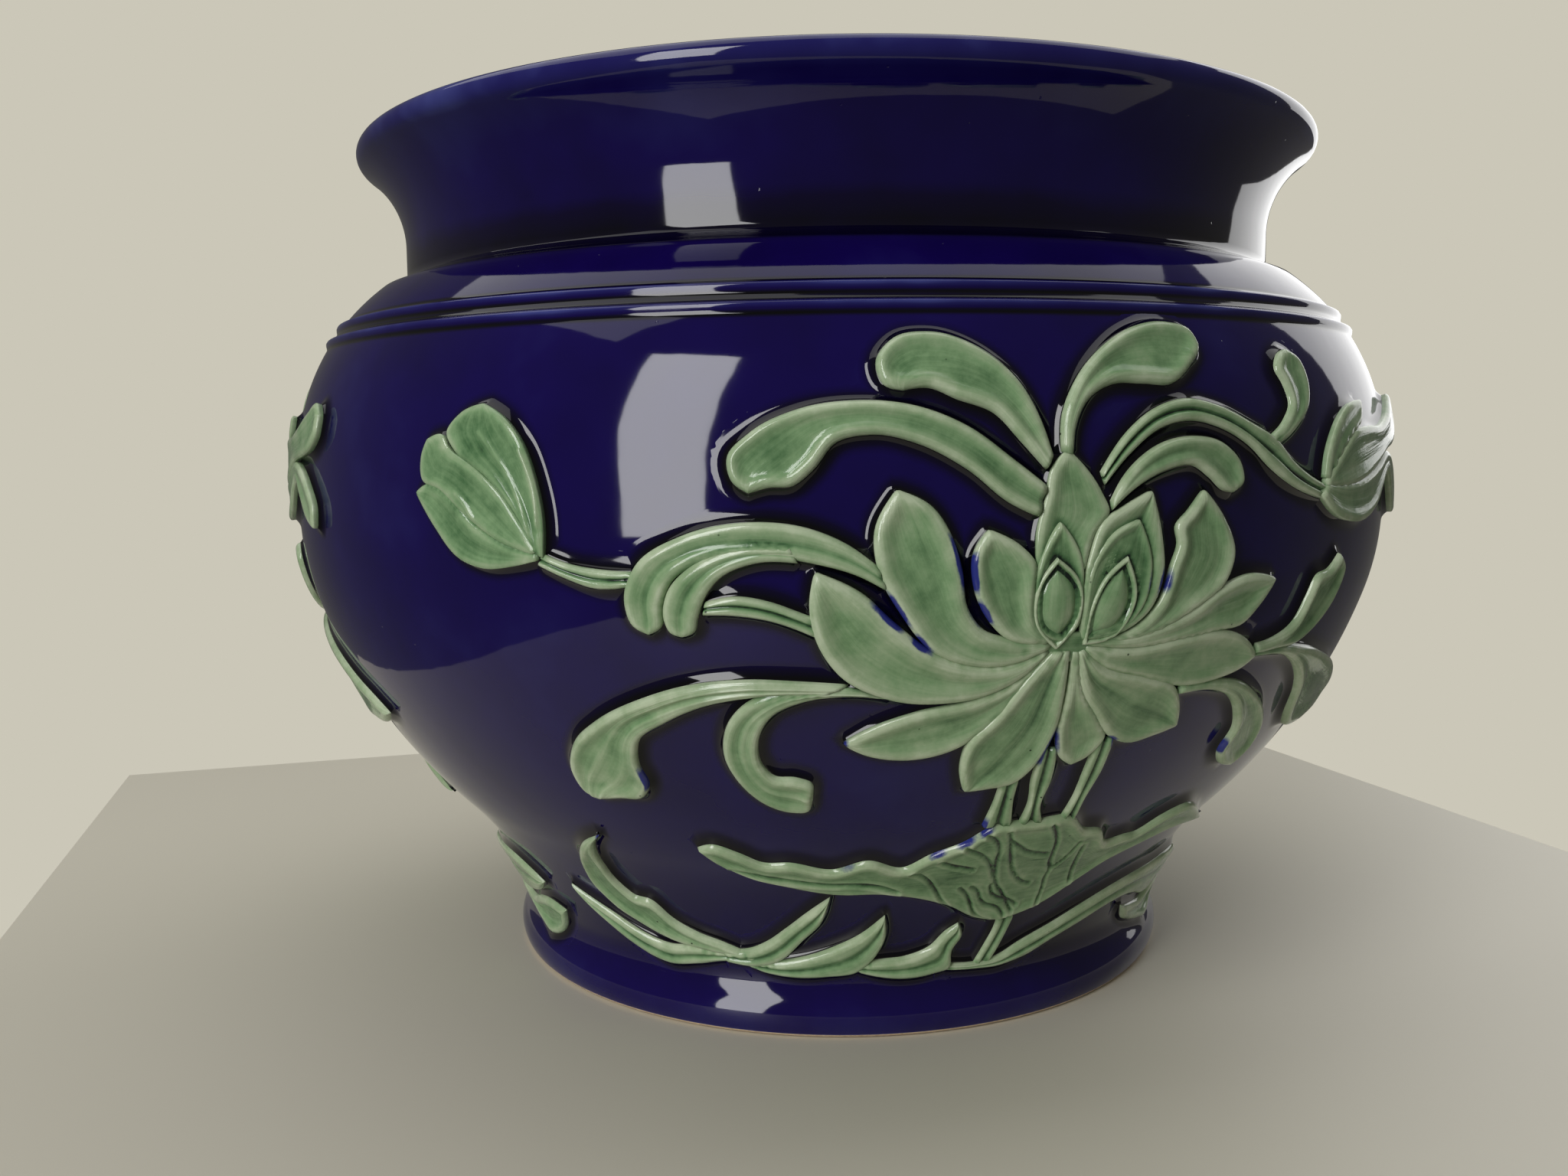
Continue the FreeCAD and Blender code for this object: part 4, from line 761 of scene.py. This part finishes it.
# The left bud: broad petals folded round one another, with thin creases raised on them, on the
# outer end of its ribbed stem. Petals and stem are one clay sprig, luted on.
LEFT_BUD_SHARES = {
    "middle": (
        ((-345, 712), (-372, 730), (-400, 765), (-420, 795), (-436, 808), (-437, 840), (-432, 862)),
        ((-342, 715), (-352, 745), (-372, 795), (-395, 830), (-412, 850), (-418, 866), (-432, 862))),
    "low": (
        ((-342, 705), (-362, 696), (-385, 692), (-405, 704), (-425, 743), (-443, 790)),
        ((-342, 712), (-365, 722), (-392, 750), (-410, 785), (-427, 803), (-443, 790))),
    "back": (
        ((-345, 718), (-358, 765), (-380, 812), (-405, 845), (-413, 870), (-402, 895), (-384, 907)),
        ((-338, 708), (-337, 750), (-342, 805), (-352, 855), (-368, 890), (-384, 907))),
    "stem": (
        ((-338, 712), (-320, 700), (-300, 694), (-278, 692)),
        ((-342, 696), (-324, 681), (-304, 669), (-278, 672))),
}
CREASE_RISE, CREASE_WIDTH, CREASE_STEPS = 0.0004, 0.0006, 15
BUD_CREASE_SHARES = (
    ((-346, 735), (-352, 775), (-362, 815), (-385, 870)),
    ((-340, 750), (-342, 800), (-352, 845)),
    ((-390, 755), (-397, 775), (-405, 790)),
)


def near_lines(lines, steps, spots):
    return numpy.min([away_from(smooth_edge(shares, steps), spots) for shares in lines], axis=0)


def bud_creases(spots):
    return -CREASE_RISE * bell(near_lines(BUD_CREASE_SHARES, CREASE_STEPS, spots), 0.0, CREASE_WIDTH)


FOLDED = dict(edge=0.0024, swell=0.0003, rim=0.0014, tone_and_painted_light=0.20, along=64, across=44, carve=bud_creases)
BUD_STEM = dict(rise=0.0028, rim=0.0012, hollow=0.0, ribs=((0.0, 0.20, 0.0010),))
lay_sprig(
    "left_bud", LEFT_BUD_SHARES,
    middle=dict(FOLDED, rise=0.0031, hollow=0.0004),
    low=dict(FOLDED, rise=0.0031, hollow=0.0005),
    back=dict(FOLDED, hollow=0.0005),
    stem=BUD_STEM,
)


# The inner end of that stem comes out from under the arching leaf. It is a short ribbed strip of
# clay, luted on apart from the bud.
LEFT_BUD_STEM_SHARES = {
    "stem": (
        ((-232, 655), (-215, 662), (-192, 655), (-176, 643), (-162, 632)),
        ((-234, 637), (-215, 637), (-192, 630), (-175, 618), (-160, 603))),
}
lay_sprig("left_bud_stem", LEFT_BUD_STEM_SHARES, stem=BUD_STEM)


# The right bud opens in two curling petals, with a third behind them. They are pressed together
# as one clay sprig and luted on at the end of their stem.
RIGHT_BUD_SHARES = {
    "upper": (
        ((212, 790), (232, 825), (258, 858), (290, 866), (325, 868), (355, 882), (385, 905), (403, 917),
         (413, 900)),
        ((212, 785), (240, 782), (275, 790), (310, 810), (343, 832), (375, 841), (398, 853), (411, 874),
         (413, 900))),
    "lower": (
        ((212, 786), (245, 784), (285, 792), (318, 810), (345, 828), (368, 818), (388, 792), (403, 757),
         (402, 727)),
        ((206, 772), (228, 742), (255, 730), (285, 731), (312, 750), (335, 785), (350, 800), (366, 776),
         (386, 740), (402, 727))),
    "back": (
        ((212, 795), (216, 830), (232, 872), (255, 897), (280, 904)),
        ((222, 790), (236, 828), (256, 855), (274, 876), (280, 904))),
}
OPEN = dict(edge=0.0024, swell=0.0003, rim=0.0014)
lay_sprig(
    "right_bud", RIGHT_BUD_SHARES,
    upper=dict(OPEN, rise=0.0033, hollow=0.0003),
    lower=dict(OPEN, hollow=0.0004),
    back=dict(OPEN, rise=0.0031, hollow=0.0003),
)


# Its stem arches over from the flower as two ribs with a groove between, and carries a curl.
# Both are one clay sprig, luted on between the flower and the bud.
RIGHT_BUD_STEM_SHARES = {
    "stem": (
        ((10, 812), (28, 860), (50, 891), (75, 904), (100, 896), (130, 873), (155, 850), (172, 822),
         (198, 796), (216, 785)),
        ((13, 795), (32, 836), (52, 864), (78, 875), (102, 866), (128, 842), (148, 812), (175, 784),
         (200, 769), (218, 762))),
    "curl": (
        ((143, 850), (165, 877), (173, 898), (170, 925), (165, 945), (171, 963), (183, 973)),
        ((152, 838), (178, 865), (195, 895), (200, 930), (196, 960), (183, 973))),
}
lay_sprig(
    "right_bud_stem", RIGHT_BUD_STEM_SHARES,
    stem=dict(rise=0.0029, rim=0.0013, hollow=0.0, ribs=((0.0, 0.20, 0.0011),), along=64),
    curl=dict(rise=0.0029, rim=0.0016, hollow=0.0005),
)


# To the right of the flower a short leaf turns up and a long one sweeps down to a point. The two
# are one clay sprig, luted on at the flower's side.
SIDE_LEAF_SHARES = {
    "short": (
        ((160, 566), (180, 572), (198, 590), (206, 625), (213, 655), (230, 664), (243, 684)),
        ((160, 550), (185, 553), (210, 556), (232, 580), (250, 625), (254, 665), (243, 684))),
    "long": (
        ((160, 554), (200, 556), (240, 545), (280, 525), (320, 503), (360, 472), (390, 447), (407, 425)),
        ((160, 546), (205, 538), (235, 508), (256, 470), (268, 430), (285, 403), (315, 396), (350, 400),
         (385, 404), (407, 425))),
}
lay_sprig(
    "side_leaf", SIDE_LEAF_SHARES,
    short=dict(rim=0.0017, hollow=0.0009),
    long=dict(rise=0.0033, rim=0.0018, hollow=0.0011, hollow_width=0.0045, along=60),
)


# A curled leaf hangs under them from the flower's right side. It is pressed in clay, hollow
# along its middle, and luted on.
LOW_SIDE_LEAF_SHARES = {
    "blade": (
        ((95, 520), (130, 520), (155, 513), (185, 488), (210, 457), (227, 420), (230, 385), (216, 355)),
        ((95, 504), (130, 503), (152, 488), (172, 455), (182, 425), (180, 395), (192, 370), (216, 355))),
}
lay_sprig("low_side_leaf", LOW_SIDE_LEAF_SHARES, blade=dict(rim=0.0017, hollow=0.0009))


# The drooping leaf on the left: a long blade with a wide rolled end, and a curl inside its bend.
# They are one clay sprig, luted on beside the flower.
DROOPING_LEAF_SHARES = {
    "blade": (
        ((-145, 545), (-175, 549), (-210, 551), (-245, 543), (-285, 518), (-325, 479), (-350, 440),
         (-361, 395), (-357, 362), (-346, 350)),
        ((-165, 532), (-205, 527), (-240, 512), (-270, 485), (-294, 452), (-299, 415), (-296, 385),
         (-304, 362), (-325, 356), (-346, 350))),
    "curl": (
        ((-148, 543), (-185, 538), (-212, 518), (-228, 480), (-232, 435), (-225, 398), (-207, 361),
         (-188, 348), (-173, 352), (-171, 372)),
        ((-115, 522), (-150, 528), (-175, 520), (-196, 498), (-206, 462), (-206, 430), (-198, 408),
         (-182, 405), (-170, 394), (-171, 372))),
}
lay_sprig(
    "drooping_leaf", DROOPING_LEAF_SHARES,
    # The blade's colour is lifted a little as painted light, where the lamps leave it darker.
    blade=dict(rim=0.0017, hollow=0.0009, tone_and_painted_light=-0.08, along=72, across=36,
               ribs=((-0.3, 0.10, -0.0003), (0.3, 0.10, -0.0003))),
    curl=dict(rise=0.0030, rim=0.0016, hollow=0.0007, ribs=((0.0, 0.14, -0.0004),), along=56),
)


# The lily pad is a clay sprig like a shallow boat, luted on under the flower, whose three stems
# stand on it. Veins fan out from its upper edge and sweep down to its stem, and a dark groove
# follows its left arm, each pressed in between two low ridges.
LILY_PAD_SHARES = {
    "pad": (
        ((-276, 270), (-262, 278), (-240, 265), (-220, 247), (-195, 248), (-157, 235), (-125, 253),
         (-92, 237), (-70, 262), (-45, 282), (-22, 312), (15, 316), (48, 316), (70, 287), (92, 278),
         (112, 249), (135, 252), (150, 253), (170, 276), (200, 289), (235, 270), (262, 248), (290, 230)),
        ((-276, 270), (-262, 243), (-235, 217), (-195, 196), (-150, 182), (-110, 182), (-75, 171),
         (-35, 148), (0, 117), (28, 105), (60, 112), (90, 132), (118, 168), (140, 200), (170, 222),
         (205, 238), (250, 236), (290, 230))),
    "stem_left": (
        ((-31, 398), (-31, 360), (-34, 314)),
        ((-16, 402), (-15, 360), (-8, 314))),
    "stem_middle": (
        ((-6, 440), (-6, 390), (-1, 345), (-2, 314)),
        ((7, 440), (11, 390), (11, 345), (20, 314))),
    "stem_right": (
        ((37, 448), (37, 400), (38, 345), (36, 314)),
        ((52, 448), (53, 400), (50, 345), (53, 300))),
}
VEIN_DEPTH, VEIN_WIDTH, VEIN_STEPS = 0.0007, 0.0005, 25
RIDGE_RISE, RIDGE_PLACE, RIDGE_WIDTH = 0.0003, 0.0012, 0.0006
PAD_VEIN_SHARES = (
    ((-27, 300), (-16, 286), (-9.5, 271), (-5.6, 241), (0, 218), (10, 187), (21, 168), (33, 145),
     (45, 122.5)),
    ((-7.5, 301.5), (-2, 282.5), (2, 265), (8, 244), (18, 218), (29, 199), (41, 185), (50, 180)),
    ((-2, 282.5), (10, 269), (19.5, 258), (33, 250), (45, 246)),
    ((31, 307), (39, 290), (46.5, 269), (51, 246), (56, 225), (64, 208)),
    ((74.5, 261.5), (73, 241), (69, 221.5), (64, 210)),
    ((64, 208), (66, 187), (71, 168), (74, 149), (74.5, 130)),
    ((83, 250), (87, 229), (93, 206), (99, 187), (105, 170)),
    ((-83, 229), (-73, 221.5), (-65, 210), (-56, 191), (-46, 168), (-36.5, 151)),
    ((-60, 250), (-48, 241), (-36.5, 235), (-25, 229)),
    ((-44, 282.5), (-35, 269), (-25, 260), (-16, 248), (-7.5, 231), (0, 210)),
    ((-29, 187), (-19, 172), (-11, 153), (-4, 134), (6, 119), (18, 111)),
    ((-17, 187), (-7.5, 176), (0, 157), (8, 145), (19.5, 138), (31, 126), (37, 115)),
    ((4, 187), (10, 168), (19.5, 157), (33, 149), (48.5, 134)),
    ((-250, 235), (-160, 207), (-120, 205), (-92.5, 189)),
)


def pad_veins(spots):
    near = near_lines(PAD_VEIN_SHARES, VEIN_STEPS, spots)
    return VEIN_DEPTH * bell(near, 0.0, VEIN_WIDTH) - RIDGE_RISE * bell(near, RIDGE_PLACE, RIDGE_WIDTH)


STALK = dict(rise=0.0028, rim=0.0011, hollow=0.0, ribs=((0.0, 0.25, 0.0010),), along=20)
lay_sprig(
    "lily_pad", LILY_PAD_SHARES,
    pad=dict(rise=0.0031, rim=0.0016, tone_and_painted_light=0.05, along=280, across=72, carve=pad_veins),
    stem_left=STALK, stem_middle=STALK, stem_right=STALK,
)


# Along the base runs a frond that curls up to a point at the left. It is pressed in clay, a
# little hollow, and luted on just above the waist.
FROND_SHARES = {
    "blade": (
        ((-262, 42), (-290, 41), (-320, 46), (-355, 55), (-395, 80), (-427, 112), (-441, 155), (-434, 195),
         (-412, 238), (-374, 272)),
        ((-262, 48), (-290, 64), (-320, 78), (-350, 104), (-366, 133), (-390, 141), (-402, 172),
         (-400, 210), (-391, 243), (-374, 272))),
}
lay_sprig("frond", FROND_SHARES, blade=dict(rise=0.0031, rim=0.0018, hollow=0.0008, along=52))


# The base line: a row of pointed shoots that grow out of one another, ribbed along their middle,
# with one long blade at each end that reaches towards the next plant. It is one long clay sprig,
# luted on just above the waist.
BASE_RUNNER_SHARES = {
    "shoot_tall": (
        ((-290, 52), (-258, 56), (-235, 73), (-210, 103), (-182, 142), (-160, 172)),
        ((-285, 26), (-245, 24), (-217, 41), (-192, 80), (-168, 124), (-160, 172))),
    "shoot_middle": (
        ((-260, 38), (-225, 36), (-190, 47), (-155, 68), (-122, 98), (-101, 131)),
        ((-262, 22), (-235, 8), (-205, 2), (-165, 6), (-125, 20), (-110, 42), (-97, 90), (-101, 131))),
    "shoot_short": (
        ((-130, 34), (-100, 40), (-68, 45), (-42, 62), (-27, 90), (-14, 104)),
        ((-132, 19), (-100, 3), (-68, -3), (-35, 3), (-12, 18), (-14, 50), (-6, 82), (-14, 104))),
    "runner_left": (
        ((-250, 45), (-290, 48), (-330, 50), (-365, 44), (-400, 56), (-440, 85), (-470, 106), (-495, 125)),
        ((-250, 20), (-290, 26), (-325, 14), (-370, 2), (-410, 20), (-450, 54), (-480, 93), (-495, 125))),
    "runner_right": (
        ((-20, 24), (20, 18), (50, 23), (80, 45), (120, 68), (160, 92), (200, 112), (240, 124), (290, 129),
         (340, 134), (375, 130), (402, 115), (425, 95)),
        ((-20, 8), (20, 3), (55, 1), (90, 12), (130, 35), (170, 54), (210, 71), (250, 77), (290, 68),
         (325, 52), (365, 56), (400, 72), (425, 95))),
}
SHOOT = dict(hollow=0.0, ribs=((0.0, 0.20, 0.0007),))
lay_sprig(
    "base_runner", BASE_RUNNER_SHARES,
    shoot_tall=dict(SHOOT, rise=0.0033, rim=0.0018),
    shoot_middle=dict(SHOOT, rim=0.0019),
    shoot_short=dict(SHOOT, rise=0.0031, rim=0.0019),
    runner_left=dict(SHOOT, rise=0.0029, rim=0.0018, along=52),
    runner_right=dict(rise=0.0030, rim=0.0019, hollow=0.0, ribs=((0.0, 0.18, 0.0008),), along=80),
)


# The pad's stem goes down behind the base line. It is a short ribbed strip of clay, pressed
# thinner than the shoots and luted on.
PAD_STEM_SHARES = {
    "stem": (
        ((33, 112), (34, 85), (28, 50), (18, 14)),
        ((56, 114), (54, 80), (49, 45), (40, 12))),
}
lay_sprig("pad_stem", PAD_STEM_SHARES,
          stem=dict(rise=0.0025, rim=0.0014, hollow=0.0, ribs=((0.0, 0.25, 0.0008),), along=20))


# A drop-shaped leaf fills the corner low on the right. It is a hollowed drop of clay, luted on
# under the right end of the base line.
DROP_LEAF_SHARES = {
    "blade": (
        ((275, 46), (305, 38), (340, 34), (370, 46), (410, 54), (447, 46)),
        ((275, 46), (295, 14), (325, -6), (360, -20), (390, -27), (418, -12), (447, 46))),
}
lay_sprig("drop_leaf", DROP_LEAF_SHARES, blade=dict(rise=0.0031, rim=0.0020, hollow=0.0009))


# A plain table top, 58 cm square, in pale paint with a dull sheen. It ends a hand's width beyond
# the pot's belly and is only the stage.
TABLE_SIDE, TABLE_PLACE = 0.58, (0.007, 0.003, 0.0)
table_paint = bpy.data.materials.new("table_paint")
table_paint.use_nodes = True
paint_shader = table_paint.node_tree.nodes["Principled BSDF"]
paint_shader.inputs["Base Color"].default_value = linear("#cfcaba")
paint_shader.inputs["Roughness"].default_value = 0.5
table_mesh = bmesh.new()
bmesh.ops.create_grid(table_mesh, x_segments=1, y_segments=1, size=TABLE_SIDE / 2)
bmesh.ops.translate(table_mesh, vec=TABLE_PLACE, verts=table_mesh.verts)
finished(table_mesh, "table", (table_paint,))


# Soft studio light: a tall softbox at the front left, a wide fill at the right and one overhead.
# Their sizes are in metres and their power is in watts.
POT_MIDDLE = (0.0, 0.0, 0.12)


def softbox(name, place, target, width, height, power):
    lamp = bpy.data.lights.new(name, "AREA")
    lamp.shape, lamp.size, lamp.size_y = "RECTANGLE", width, height
    lamp.energy = power
    lamp_object = bpy.data.objects.new(name, lamp)
    lamp_object.location = place
    lamp_object.rotation_euler = (Vector(target) - Vector(place)).to_track_quat("-Z", "Y").to_euler()
    bpy.context.scene.collection.objects.link(lamp_object)


softbox("tall", (-1.21, -1.05, 0.70), POT_MIDDLE, width=0.50, height=1.50, power=20.0)
softbox("fill", (1.5, 0.75, 0.8), POT_MIDDLE, width=1.2, height=1.3, power=8.0)
softbox("overhead", (0.0, 0.6, 1.9), (0.0, 0.6, 0.0), width=3.2, height=2.2, power=23.0)

# All round stands a plain warm grey, dim as light on the pot and pale where the camera sees it.
world = bpy.data.worlds.new("studio")
bpy.context.scene.world = world
world.use_nodes = True
dim = world.node_tree.nodes["Background"]
dim.inputs["Color"].default_value = linear("#cfccc2")
dim.inputs["Strength"].default_value = 0.17
pale = add_node(world.node_tree, "ShaderNodeBackground",
                    (("Color", linear("#cbc7b8")), ("Strength", 1.0)))
seen = add_node(world.node_tree, "ShaderNodeLightPath").outputs["Is Camera Ray"]
either = add_node(world.node_tree, "ShaderNodeMixShader", (),
                  ((0, seen), (1, dim.outputs["Background"]), (2, pale.outputs["Background"])))
world.node_tree.links.new(either.outputs["Shader"],
                          world.node_tree.nodes["World Output"].inputs["Surface"])


# The camera stands where the photograph was taken from: 0.47 m from the pot's axis and a little
# above its middle, turned slightly down.
LENS_MM, SENSOR_MM = 30.57, 36.0
CAMERA_PLACE = (-0.1482, -0.4430, 0.1668)
PITCH, ROLL, PAN = math.radians(6.314), math.radians(0.621), math.radians(16.355)
ahead = Vector((math.sin(PAN) * math.cos(PITCH), math.cos(PAN) * math.cos(PITCH), -math.sin(PITCH)))
level = Vector((math.cos(PAN), -math.sin(PAN), 0.0))
downward = ahead.cross(level)
right = level * math.cos(ROLL) + downward * math.sin(ROLL)
down = downward * math.cos(ROLL) - level * math.sin(ROLL)
lens = bpy.data.cameras.new("camera")
lens.lens, lens.sensor_width, lens.sensor_fit = LENS_MM, SENSOR_MM, "HORIZONTAL"
camera = bpy.data.objects.new("camera", lens)
view_turn = Matrix((right, -down, -ahead)).transposed().to_4x4()
camera.matrix_world = Matrix.Translation(CAMERA_PLACE) @ view_turn
bpy.context.scene.collection.objects.link(camera)
bpy.context.scene.camera = camera
bpy.context.scene.view_settings.view_transform = "Standard"
